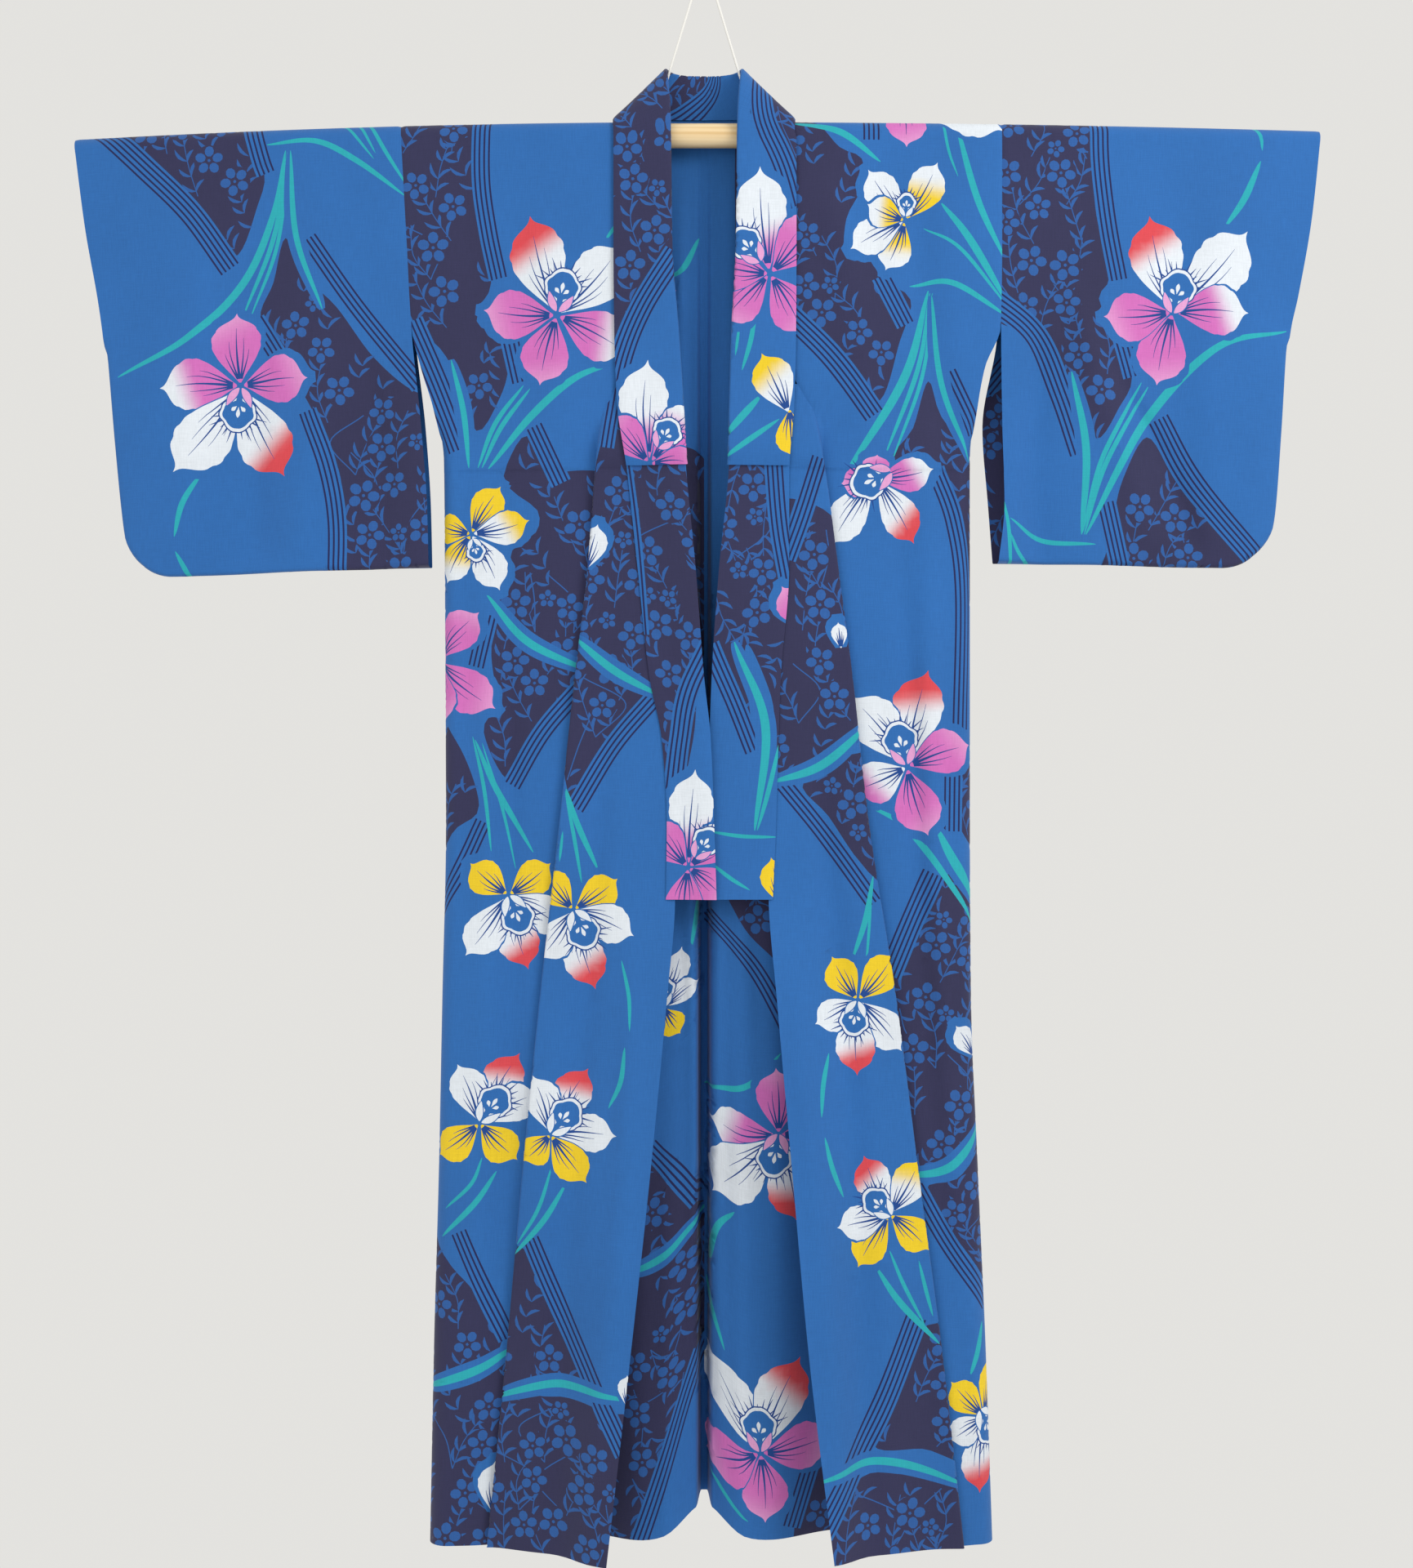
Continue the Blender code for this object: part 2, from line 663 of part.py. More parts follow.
def neck_station(side, row):
    """The collar's points across its width at one station round the neck."""
    turn, sewn_x, sewn_drop, free_x, free_y, free_rise = row
    a = math.radians(turn)
    radius = RIDGE + ON_PANEL
    if sewn_drop is None:
        sewn = (sewn_x, radius * math.sin(a), height(side, sewn_x, RIDGE) + radius * math.cos(a))
    else:
        y = back_depth(sewn_x, sewn_drop) + ON_PANEL
        sewn = (sewn_x, y, height(side, sewn_x, sewn_drop))
    free = (free_x, free_y, SHOULDER_Z + free_rise)
    points = [[mix(p, q, w) for p, q in zip(sewn, free)] for w in COLLAR_ACROSS]
    if sewn_drop is not None:
        for point in points[:2]:
            point[1] = max(point[1], back_depth(point[0], sewn_drop) + ON_PANEL)
    return [tuple(point) for point in points]


def collar_grid():
    """(grid, drops): every station from the left end round the neck to the right end."""
    halves = {}
    for side in ("left", "right"):
        sign = SIGN[side]
        stations = [(d, band_station(side, d)) for d in reversed(COLLAR_STATIONS)]
        stations += [(0.0, neck_station(side, row)) for row in NECK]
        halves[side] = [(d, [(sign * x, y, z) for x, y, z in s]) for d, s in stations]
    both = halves["left"] + halves["right"][::-1][1:]
    return [s for _, s in both], [d for d, _ in both]


def make_collar():
    cloth = Cloth()
    grid, drops = collar_grid()
    ids = [[cloth.point(*p) for p in station] for station in grid]
    cloth.quads("collar", ids, True)
    cloth.solid("collar", COLLAR_CLOTH, DARK_BLUE)
    normals = cloth.normals()
    make_cover(grid, drops, [normals[row] for row in ids])


def make_cover(grid, drops, normals):
    """The second band, folded round the collar's free edge on the upper part of the collar."""
    off = COLLAR_CLOTH / 2 + LAID_GAP + COVER_CLOTH / 2
    cover = Cloth()
    ids = []
    for station, drop, normal in zip(grid, drops, normals):
        if drop > COVER_END + 1e-6:
            continue
        p = np.array(station)
        outward = p[-1] - p[-2]
        outward /= np.linalg.norm(outward)
        row = [p[i] + off * normal[i] for i in range(len(p))]
        for angle in (45, 90, 135):
            a = math.radians(angle)
            row.append(p[-1] + off * (math.cos(a) * normal[-1] + math.sin(a) * outward))
        row += [p[i] - off * normal[i] for i in (4, 3, 2)]
        ids.append([cover.point(*q) for q in row])
    cover.quads("collar_cover", ids, True)
    cover.solid("collar_cover", COVER_CLOTH, DARK_BLUE)


def tube(name, route, radius, sides, colour):
    """A round bar along a route, with flat ends."""
    route = np.array(route, float)
    along = np.gradient(route, axis=0)
    along /= np.linalg.norm(along, axis=1)[:, None]
    across = np.cross(along[0], (0.0, 0.31, 0.95) if abs(along[0][0]) > 0.5 else (0.95, 0.31, 0.0))
    points, rings = [], []
    for place, way in zip(route, along):
        across = across - way * np.dot(across, way)
        across /= np.linalg.norm(across)
        other = np.cross(way, across)
        ring = []
        for i in range(sides):
            a = 2 * math.pi * i / sides
            points.append(tuple(place + radius * (math.cos(a) * across + math.sin(a) * other)))
            ring.append(len(points) - 1)
        rings.append(ring)
    faces = []
    for first, second in zip(rings, rings[1:]):
        for i in range(sides):
            j = (i + 1) % sides
            faces.append([first[i], first[j], second[j], second[i]])
    faces.append(rings[0][::-1])
    faces.append(rings[-1])
    return add_object(name, points, faces, colour)


def rod_height(x):
    side = "left" if x < 0 else "right"
    return ROD_Z - BOW[side] * x * x


def make_rod():
    xs = np.linspace(*ROD_ENDS, 21)
    return tube("hanger_rod", [(x, 0.0, rod_height(x)) for x in xs], ROD_RADIUS, 20, WOOD)


def cord_leg(side):
    """From the end of the turn round the rod up to just below the top."""
    x = SIGN[side] * CORD_AT_ROD
    ring = ROD_RADIUS + ROD_GAP + CORD_RADIUS
    z = rod_height(x)
    route = []
    for degrees in range(342, 20, -20):
        a = math.radians(degrees)
        route.append((x, ring * math.sin(a), z + ring * math.cos(a)))
    foot = (x, 0.0, z + ring + 0.0080)
    top_x, top_z = CORD_BEND * math.cos(CORD_LEAN), CORD_BEND * (math.sin(CORD_LEAN) - 1)
    lean = (SIGN[side] * top_x - x) / (top_z - foot[2])
    for rise, y in ((0.0015, 0.0030), (0.0042, 0.0008)):
        route.append((x + lean * (rise - 0.0080), y, z + ring + rise))
    route.append(foot)
    for t in (0.35, 0.7):
        route.append((mix(x, SIGN[side] * top_x, t), 0.0, mix(foot[2], top_z, t)))
    return route


def make_cord():
    left, right = cord_leg("left"), cord_leg("right")
    angles = [math.radians(a) for a in (162.7, 135, 112, 90, 68, 45, 17.3)]
    bend = [(CORD_BEND * math.cos(a), 0.0, CORD_BEND * (math.sin(a) - 1)) for a in angles]
    return tube("hanging_cord", left + bend + right[::-1], CORD_RADIUS, 8, WHITE)


def main():
    for old in list(bpy.data.objects):
        bpy.data.objects.remove(old)
    for side in ("left", "right"):
        make_body(side)
        make_sleeve(side)
    make_collar()
    make_rod()
    make_cord()


main()
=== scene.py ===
"""The looks of a cotton yukata robe hung on a rod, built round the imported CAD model.

Each panel of cloth is a sheet: a fine grid of places in the robe's frame, each with its place in the
flat cloth. The print is drawn as outlines in the flat cloth, and the sheet is cut along them, so
that every colour ends on an edge. Metres in space, millimetres in the flat cloth.
"""

import functools
import json
import math
import random

import bpy
import numpy as np
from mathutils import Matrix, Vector, bvhtree, geometry

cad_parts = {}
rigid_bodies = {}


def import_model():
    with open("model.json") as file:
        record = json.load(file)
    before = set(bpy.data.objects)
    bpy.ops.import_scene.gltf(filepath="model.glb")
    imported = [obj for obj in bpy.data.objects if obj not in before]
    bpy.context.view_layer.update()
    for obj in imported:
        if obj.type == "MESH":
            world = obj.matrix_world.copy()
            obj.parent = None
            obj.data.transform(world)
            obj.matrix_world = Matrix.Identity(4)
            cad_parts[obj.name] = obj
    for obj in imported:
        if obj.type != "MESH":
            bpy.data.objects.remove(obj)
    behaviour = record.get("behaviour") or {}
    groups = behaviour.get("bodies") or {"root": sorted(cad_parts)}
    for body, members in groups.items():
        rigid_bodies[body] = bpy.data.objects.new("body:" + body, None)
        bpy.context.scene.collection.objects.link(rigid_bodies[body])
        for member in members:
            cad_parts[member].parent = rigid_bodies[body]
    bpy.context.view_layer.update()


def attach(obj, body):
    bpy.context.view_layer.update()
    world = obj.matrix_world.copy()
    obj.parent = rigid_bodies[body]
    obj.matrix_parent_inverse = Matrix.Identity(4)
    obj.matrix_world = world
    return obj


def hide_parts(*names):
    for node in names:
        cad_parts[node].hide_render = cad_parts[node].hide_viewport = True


# The photograph: its size, and its scale and places at the rod's depth
PHOTO_WIDTH = 1730
PHOTO_HEIGHT = 1920
METRES_PER_PIXEL = 0.00086
MIDDLE_PIXEL = 862
TOP_PIXEL = -38
NAPE_TOP_PIXEL = 87
CAMERA_DISTANCE = 2.1
CAMERA_X = (PHOTO_WIDTH / 2 - MIDDLE_PIXEL) * METRES_PER_PIXEL
CAMERA_Z = -(PHOTO_HEIGHT / 2 - TOP_PIXEL) * METRES_PER_PIXEL

# The CAD model's own sizes
CLOTH = 0.0015
COLLAR_CLOTH = 0.0020
COVER_CLOTH = 0.0012
ROD_GAP = 0.0005
LAID_GAP = 0.0005
SHOULDER_Z = -0.162
ROD_RADIUS = 0.0125
ROD_ENDS = (-0.635, 0.620)
CORD_RADIUS = 0.0014
CORD_AT_ROD = 0.050
CORD_BEND = 0.0048
CORD_LEAN = math.radians(17.3)
CORD_FOOT = 0.0080
ARMHOLE = 0.215
SIDE_CLOSES = 0.301
SIDE_OPENING = 0.353
TUCK = 0.366
OVERLAP_TOP = 0.275
COLLAR_END = 0.816
COVER_END = 0.364
HEM = 1.487
NECK_POINT = 0.0846
COLLAR_WIDTH_ON_PANEL = 0.009
BOW = {"left": 0.043, "right": 0.0235}
SIGN = {"left": -1.0, "right": 1.0}
RIDGE = ROD_RADIUS + ROD_GAP + CLOTH / 2
ROD_Z = SHOULDER_Z - RIDGE
ON_PANEL = CLOTH / 2 + LAID_GAP + COLLAR_CLOTH / 2
PLEAT_ARC = 0.0063
FRONT_WIDTH = 0.242
HAND_OPENING = 0.235
SLEEVE_CORNER = 0.042
EDGE_ROLL = 0.004
SLEEVE_WAVE = 0.004
SLEEVE_WAVE_LENGTH = 0.155

# The floor lies below the photograph's view and ends before it would show in it
FLOOR_Z = -2.60
FLOOR_RADIUS = 2.2

# Measures down the robe, in metres. drop is the height below the shoulder's ridge.
TABLES = {
    "body_left": (
        ("drop", "side", "seam"),
        (0.000, 0.318, 0.0846),
        (0.129, 0.311, 0.0846),
        (0.215, 0.306, 0.0846),
        (0.258, 0.296, 0.0855),
        (0.301, 0.283, 0.1006),
        (0.353, 0.274, 0.1120),
        (0.473, 0.273, 0.1220),
        (0.584, 0.2724, 0.135),
        (0.736, 0.2718, 0.151),
        (0.916, 0.2755, 0.171),
        (1.096, 0.279, 0.189),
        (1.281, 0.284, 0.2055),
        (1.487, 0.288, 0.226),
    ),
    "body_right": (
        ("drop", "side", "seam"),
        (0.000, 0.312, 0.0866),
        (0.129, 0.312, 0.0866),
        (0.215, 0.3105, 0.0870),
        (0.258, 0.294, 0.0900),
        (0.301, 0.286, 0.1100),
        (0.353, 0.280, 0.1240),
        (0.473, 0.280, 0.1405),
        (0.584, 0.280, 0.155),
        (0.736, 0.280, 0.172),
        (0.916, 0.281, 0.200),
        (1.096, 0.288, 0.223),
        (1.281, 0.296, 0.247),
        (1.487, 0.303, 0.270),
    ),
    "band_left": (
        ("drop", "sewn", "free"),
        (0.000, 0.0946, 0.0365),
        (0.130, 0.0946, 0.0350),
        (0.232, 0.0936, 0.0275),
        (0.301, 0.0905, 0.0230),
        (0.364, 0.0810, 0.0190),
        (0.473, 0.0690, 0.0086),
        (0.584, 0.0570, 0.0000),
        (0.650, 0.0440, -0.0070),
        (0.736, 0.0387, -0.0105),
        (0.816, 0.0396, -0.0130),
    ),
    "band_right": (
        ("drop", "sewn", "free"),
        (0.000, 0.0966, 0.0365),
        (0.130, 0.0966, 0.0350),
        (0.232, 0.0960, 0.0300),
        (0.301, 0.0940, 0.0280),
        (0.364, 0.0890, 0.0260),
        (0.473, 0.0886, 0.0155),
        (0.584, 0.0800, 0.0080),
        (0.650, 0.0775, 0.0060),
        (0.736, 0.0750, 0.0090),
        (0.816, 0.0714, 0.0110),
    ),
    "overlap_left": (
        ("drop", "front", "reach"),
        (0.275, 0.0830, 0.000),
        (0.353, 0.0735, 0.008),
        (0.473, 0.0600, 0.009),
        (0.584, 0.0480, 0.010),
        (0.736, 0.0297, 0.012),
        (0.816, 0.0300, 0.016),
        (0.916, 0.0380, 0.023),
        (1.096, 0.0550, 0.040),
        (1.281, 0.0750, 0.054),
        (1.487, 0.0985, 0.066),
    ),
    "overlap_right": (
        ("drop", "front", "reach"),
        (0.275, 0.0855, 0.000),
        (0.353, 0.0805, 0.008),
        (0.473, 0.0796, 0.009),
        (0.584, 0.0710, 0.010),
        (0.736, 0.0660, 0.012),
        (0.816, 0.0670, 0.016),
        (0.916, 0.0750, 0.023),
        (1.096, 0.0905, 0.038),
        (1.281, 0.1070, 0.050),
        (1.487, 0.1320, 0.058),
    ),
    "depth": (
        ("drop", "front", "back", "bulge", "groove"),
        (0.0136, 0.01375, 0.01375, 0.000, 0.001),
        (0.120, 0.01375, 0.01375, 0.001, 0.004),
        (0.300, 0.0138, 0.0140, 0.004, 0.009),
        (0.500, 0.0145, 0.0150, 0.012, 0.022),
        (0.736, 0.0155, 0.0160, 0.020, 0.032),
        (0.916, 0.0175, 0.0170, 0.027, 0.038),
        (1.096, 0.0195, 0.0175, 0.032, 0.042),
        (1.487, 0.0230, 0.0180, 0.036, 0.046),
    ),
    "pleat": (
        ("drop", "turn", "middle"),
        (0.275, 0.0, 0.002),
        (0.301, 0.0, 0.002),
        (0.318, 40.0, 0.002),
        (0.335, 85.0, 0.002),
        (0.353, 135.0, 0.003),
        (0.366, 180.0, 0.006),
        (0.387, 180.0, 0.014),
        (0.430, 180.0, 0.026),
        (0.500, 180.0, 0.038),
    ),
    "sleeve_left": (
        ("drop", "front_in", "back_in", "out", "gap"),
        (0.000, 0.3183, 0.3183, 0.660, 0.01355),
        (0.094, 0.3131, 0.3131, 0.648, 0.01355),
        (0.176, 0.3086, 0.3086, 0.634, 0.0130),
        (0.215, 0.3063, 0.3063, 0.629, 0.0125),
        (0.317, 0.2960, 0.2950, 0.621, 0.0090),
        (0.400, 0.2900, 0.2895, 0.613, 0.0065),
        (0.466, 0.2880, 0.2880, 0.603, 0.0050),
    ),
    "sleeve_right": (
        ("drop", "front_in", "back_in", "out", "gap"),
        (0.000, 0.3123, 0.3123, 0.646, 0.01355),
        (0.094, 0.3123, 0.3123, 0.636, 0.01355),
        (0.176, 0.3115, 0.3115, 0.622, 0.0130),
        (0.215, 0.3108, 0.3108, 0.614, 0.0125),
        (0.317, 0.3120, 0.2950, 0.608, 0.0090),
        (0.400, 0.3145, 0.3010, 0.602, 0.0065),
        (0.463, 0.3080, 0.3060, 0.590, 0.0050),
    ),
}

# The collar's stations round the neck, from the front of the shoulder to the middle of the nape:
# turn round the ridge in degrees, sewn edge's half width and drop (None where it is on the ridge),
# free edge's half width, depth and height above the shoulder
NECK = [
    (-90.0, 0.0946, None, 0.0366, -0.0206, -0.004),
    (-72.0, 0.0948, None, 0.0370, -0.0198, 0.012),
    (-54.0, 0.0950, None, 0.0380, -0.0182, 0.027),
    (-36.0, 0.0950, None, 0.0390, -0.0150, 0.039),
    (-18.0, 0.0950, None, 0.0400, -0.0100, 0.048),
    (0.0, 0.0948, None, 0.0405, -0.0040, 0.0530),
    (18.0, 0.0946, None, 0.0402, 0.0020, 0.0555),
    (36.0, 0.0944, None, 0.0388, 0.0080, 0.0562),
    (54.0, 0.0940, None, 0.0362, 0.0130, 0.0562),
    (72.0, 0.0934, None, 0.0322, 0.0170, 0.0560),
    (90.0, 0.0928, None, 0.0285, 0.0190, 0.0558),
    (90.0, 0.0860, 0.0205, 0.0245, 0.0200, 0.0554),
    (90.0, 0.0720, 0.0230, 0.0205, 0.0206, 0.0550),
    (90.0, 0.0500, 0.0240, 0.0140, 0.0212, 0.0547),
    (90.0, 0.0280, 0.0240, 0.0075, 0.0214, 0.0545),
    (90.0, 0.0000, 0.0240, 0.0000, 0.0214, 0.0544),
]


# Form of the cloth, as in the CAD model

@functools.lru_cache(maxsize=None)
def at(table, name, drop):
    """One column of a table at a drop, on a smooth curve through its rows."""
    columns, *rows = TABLES[table]
    k = columns.index(name)
    xs = [row[0] for row in rows]
    ys = [row[k] for row in rows]
    drop = min(max(drop, xs[0]), xs[-1])
    i = 0
    while i < len(xs) - 2 and drop > xs[i + 1]:
        i += 1
    slopes = [(y1 - y0) / (x1 - x0) for x0, x1, y0, y1 in zip(xs, xs[1:], ys, ys[1:])]
    before, here, after = slopes[max(i - 1, 0)], slopes[i], slopes[min(i + 1, len(slopes) - 1)]
    m0 = 0.0 if before * here <= 0 else 2 * before * here / (before + here)
    m1 = 0.0 if here * after <= 0 else 2 * here * after / (here + after)
    h = xs[i + 1] - xs[i]
    t = (drop - xs[i]) / h
    value = (2 * t**3 - 3 * t**2 + 1) * ys[i] + (t**3 - 2 * t**2 + t) * h * m0
    return value + (3 * t**2 - 2 * t**3) * ys[i + 1] + (t**3 - t**2) * h * m1


def ramp(low, high, value):
    """0 below low, 1 above high, smooth between."""
    t = min(max((value - low) / (high - low), 0.0), 1.0)
    return t * t * (3 - 2 * t)


def ramps(low, high, values):
    """As ramp, for an array."""
    t = np.clip((values - low) / (high - low), 0.0, 1.0)
    return t * t * (3 - 2 * t)


def mix(a, b, t):
    return a + (b - a) * t


def height(side, half, drop):
    """World height. The rod bows, so the robe's side hangs a little lower."""
    return SHOULDER_Z - BOW[side] * half * half - drop


def over_ridge(depth, drop):
    """A depth, rounded over the rod near the ridge."""
    if drop >= RIDGE:
        return depth
    return math.sqrt(max(RIDGE**2 - (RIDGE - drop) ** 2, 0.0))


def along_warp(drop):
    """Length of cloth, in metres, from the ridge down to a drop."""
    if drop >= RIDGE:
        return drop + RIDGE * (math.pi / 2 - 1)
    return RIDGE * math.acos(1 - drop / RIDGE)


def front_depth(drop):
    """How far the front lies before the rod, with the step under the tuck."""
    step = 0.0015 * (ramp(TUCK - 0.0015, TUCK + 0.002, drop) - ramp(0.387, 0.47, drop))
    return over_ridge(at("depth", "front", drop), drop) - step


def side_point(side, drop, angle, face):
    """(flat place, half width, depth) where the wall turns round the body's side."""
    edge = at("body_" + side, "side", drop)
    front = front_depth(drop)
    back = over_ridge(at("depth", "back", drop), drop)
    radius = (at("depth", "front", drop) + at("depth", "back", drop)) / 2
    a = math.radians(angle)
    open_half, open_depth = edge - radius * angle / 90, face * (front if face < 0 else back)
    closed_half = edge - radius * (1 - math.cos(a))
    closed_depth = (back - front) / 2 + face * radius * math.sin(a)
    t = ramp(SIDE_CLOSES, SIDE_OPENING, drop)
    flat = mix(open_half, edge - radius + radius * (math.pi / 2 - a), t)
    return flat, mix(open_half, closed_half, t), mix(open_depth, closed_depth, t)


def pleat_point(turn, middle, arc, along):
    """A point along the pleat: an arc, a straight middle and an arc back, as (inward, forward)."""
    bend = math.radians(turn)
    if bend < 1e-6:
        return along, 0.0
    radius = arc / bend
    first = min(along, arc)
    x = radius * math.sin(first / radius)
    y = radius * (1 - math.cos(first / radius))
    straight = min(max(along - arc, 0.0), middle)
    x += straight * math.cos(bend)
    y += straight * math.sin(bend)
    last = min(max(along - arc - middle, 0.0), arc) / radius
    x += radius * (math.sin(bend) - math.sin(bend - last))
    y += radius * (math.cos(bend - last) - math.cos(bend))
    return x, y


@functools.lru_cache(maxsize=None)
def pleat(side, drop):
    """Turn, middle, arc, seam and the half width that the pleat starts from."""
    turn = at("pleat", "turn", drop)
    middle = at("pleat", "middle", drop)
    shown = at("body_" + side, "side", drop) - at("body_" + side, "seam", drop)
    middle = mix(middle, (FRONT_WIDTH - shown) / 2, ramp(0.50, 0.66, drop))
    arc = PLEAT_ARC * mix(0.25, 1.0, ramp(0.275, 0.318, drop))
    seam = arc + max(middle / 2, middle - 0.004)
    anchored_at = seam if drop < SIDE_CLOSES else 1.5 * arc + middle
    anchor, _ = pleat_point(turn, middle, arc, anchored_at)
    return turn, middle, arc, seam, at("body_" + side, "seam", drop) + anchor


def pleated(side, drop, along):
    """(half width, depth) at a length along the pleat."""
    turn, middle, arc, _, start = pleat(side, drop)
    inward, forward = pleat_point(turn, middle, arc, along)
    return start - inward, -front_depth(drop) - forward


def overlap_depth(side, drop, half):
    """Depth of the overlap panel, which swings forward to its front edge."""
    _, middle, arc, _, _ = pleat(side, drop)
    start, depth = pleated(side, drop, 2 * arc + middle)
    front = at("overlap_" + side, "front", drop)
    reach = at("overlap_" + side, "reach", drop)
    q = min(max((start - half) / max(start - front, 1e-6), 0.0), 1.15)
    return mix(depth, min(depth, -front_depth(drop) - reach), q**1.5)


def outer_depth(side, drop, half):
    """Depth of the foremost cloth that the collar lies on."""
    if drop < OVERLAP_TOP:
        return -front_depth(drop)
    return min(overlap_depth(side, drop, half), -front_depth(drop))


def back_depth(half, drop):
    """Depth of the back, with its bulge and the groove at its middle seam."""
    base = over_ridge(at("depth", "back", drop), drop)
    near_neck = 1 - ramp(0.062, 0.090, half)
    off_rod = 0.0050 * near_neck * ramp(0.004, 0.0136, drop) * (1 - ramp(0.10, 0.40, drop))
    bulge = at("depth", "bulge", drop) * ramp(0.004, 0.045, half) * (1 - ramp(0.055, 0.150, half))
    bulge += 0.35 * at("depth", "bulge", drop) * (1 - ramp(0.004, 0.045, half))
    groove = at("depth", "groove", drop) * (1 - ramp(0.0030, 0.0085, half))
    return base + off_rod - bulge + groove


def hem_lift(half, drop):
    """The back rises at its middle seam towards the hem."""
    return 0.030 * math.exp(-((half / 0.030) ** 2)) * ramp(0.3, HEM, drop)


def between(low, high, step):
    """Even steps from low to high, both included."""
    count = max(1, round(abs(high - low) / step))
    return [mix(low, high, i / count) for i in range(count + 1)]


def ridge_drops(steps=9):
    return [RIDGE * (1 - math.cos(math.radians(90 / steps * i))) for i in range(steps + 1)]


class Sheet:
    """A stretch of cloth: places in space, flat places in mm, and how far each is from a seam."""

    def __init__(self):
        self.places = []
        self.flat = []
        self.seam = []
        self.faces = []

    def add(self, place, flat, seam=1.0):
        self.places.append(place)
        self.flat.append((flat[0] * 1000, flat[1] * 1000))
        self.seam.append(seam)
        return len(self.places) - 1

    def grid(self, rows):
        """Faces between rows of indices, None where there is no cloth."""
        for upper, lower in zip(rows, rows[1:]):
            for c in range(len(upper) - 1):
                face = [upper[c], lower[c], lower[c + 1], upper[c + 1]]
                if None not in face:
                    self.faces.append(face)

    def edge(self):
        """The outline, as indices in order."""
        following = {}
        count = {}
        for face in self.faces:
            for a, b in zip(face, face[1:] + face[:1]):
                count[(a, b)] = 1
        for a, b in count:
            if (b, a) not in count:
                following[a] = b
        loops = []
        while following:
            start = next(iter(following))
            loop = [start]
            step = following.pop(start)
            while step != start:
                loop.append(step)
                step = following.pop(step)
            loops.append(loop)
        return max(loops, key=len)


FRONT_DROPS = ridge_drops() + between(RIDGE + 0.006, TUCK - 0.008, 0.008)
FRONT_DROPS += [TUCK + d for d in (-0.004, -0.0015, -0.0003, 0.0003, 0.0015, 0.004, 0.008)]
HEM_DROPS = [HEM - d for d in (0.0165, 0.0155, 0.012, 0.006, 0.0)]
FRONT_DROPS += between(TUCK + 0.014, HEM - 0.018, 0.008) + HEM_DROPS
BACK_DROPS = ridge_drops() + between(RIDGE + 0.006, HEM - 0.018, 0.009) + HEM_DROPS
TURN_ANGLES = (0, 5, 12, 22, 34, 46, 58, 70, 80, 90)
SEAM_STRIP = 0.012
OVERLAP_ACROSS = (0.04, 0.1, 0.17, 0.24, 0.31, 0.38, 0.45, 0.52, 0.59, 0.66, 0.73, 0.8, 0.87)
OVERLAP_ACROSS += (0.93, 0.97, 1.0)
BACK_MIDDLE = (0.098, 0.091, 0.084, 0.078, 0.072, 0.064, 0.057, 0.050, 0.042, 0.035, 0.028, 0.021, 0.0165)
BACK_MIDDLE += (0.0125, 0.0100, 0.0085, 0.0070, 0.0058, 0.0048, 0.0040, 0.0033, 0.0022, 0.0010, 0.0)


def turned_side(side, drop, face):
    """The row's start round the body's side: (flat place, half width, depth, distance to a seam)."""
    joined = drop < ARMHOLE or ramp(SIDE_CLOSES, SIDE_OPENING, drop) > 0.5
    edge = side_point(side, drop, 0, face)[0]
    row = []
    for angle in TURN_ANGLES:
        u, half, y = side_point(side, drop, angle, face)
        row.append((u, half, y, edge - u if joined else 1.0))
    return row


def add_row(sheet, side, drop, v, row):
    sign = SIGN[side]
    return [sheet.add((sign * h, y, height(side, h, drop)), (sign * u, v), s) for u, h, y, s in row]


def body_front(side):
    """(front sheet, overlap sheet) of one side."""
    panel, lap = Sheet(), Sheet()
    panel_rows, lap_rows = [], []
    for drop in FRONT_DROPS:
        v = -along_warp(drop)
        row = turned_side(side, drop, -1)
        start = row[-1][1]
        _, middle, arc, end, _ = pleat(side, drop)
        if drop < OVERLAP_TOP:
            seam = at("body_" + side, "seam", drop)
            first = seam + SEAM_STRIP
            tail = [(seam + s, seam + s, -front_depth(drop), s) for s in np.linspace(SEAM_STRIP, 0.0, 14)]
        else:
            first = pleated(side, drop, 0.0)[0]
            alongs = list(np.linspace(0, min(arc, end), 9)) + list(np.linspace(min(arc, end), end, 6))[1:]
            tail = []
            for along in alongs:
                half, y = pleated(side, drop, along)
                tail.append((first - along, half, y, end - along))
        for t in np.linspace(0, 1, 24)[1:-1]:
            half = mix(start, first, t)
            row.append((half, half, -front_depth(drop), 1.0))
        row += tail
        panel_rows.append(add_row(panel, side, drop, v, row))
        if drop < OVERLAP_TOP:
            continue
        last = 2 * arc + middle
        base = pleated(side, drop, last)[0]
        row = []
        alongs = list(np.linspace(end, arc + middle, 6)) + list(np.linspace(arc + middle, last, 9))[1:]
        for along in alongs:
            half, y = pleated(side, drop, along)
            row.append((base + last - along, half, y, along - end))
        front = at("overlap_" + side, "front", drop)
        for t in OVERLAP_ACROSS:
            half = mix(base, front, t)
            row.append((half, half, overlap_depth(side, drop, half), 1.0))
        lap_rows.append(add_row(lap, side, drop, v, row))
    panel.grid(panel_rows)
    lap.grid(lap_rows)
    return panel, lap


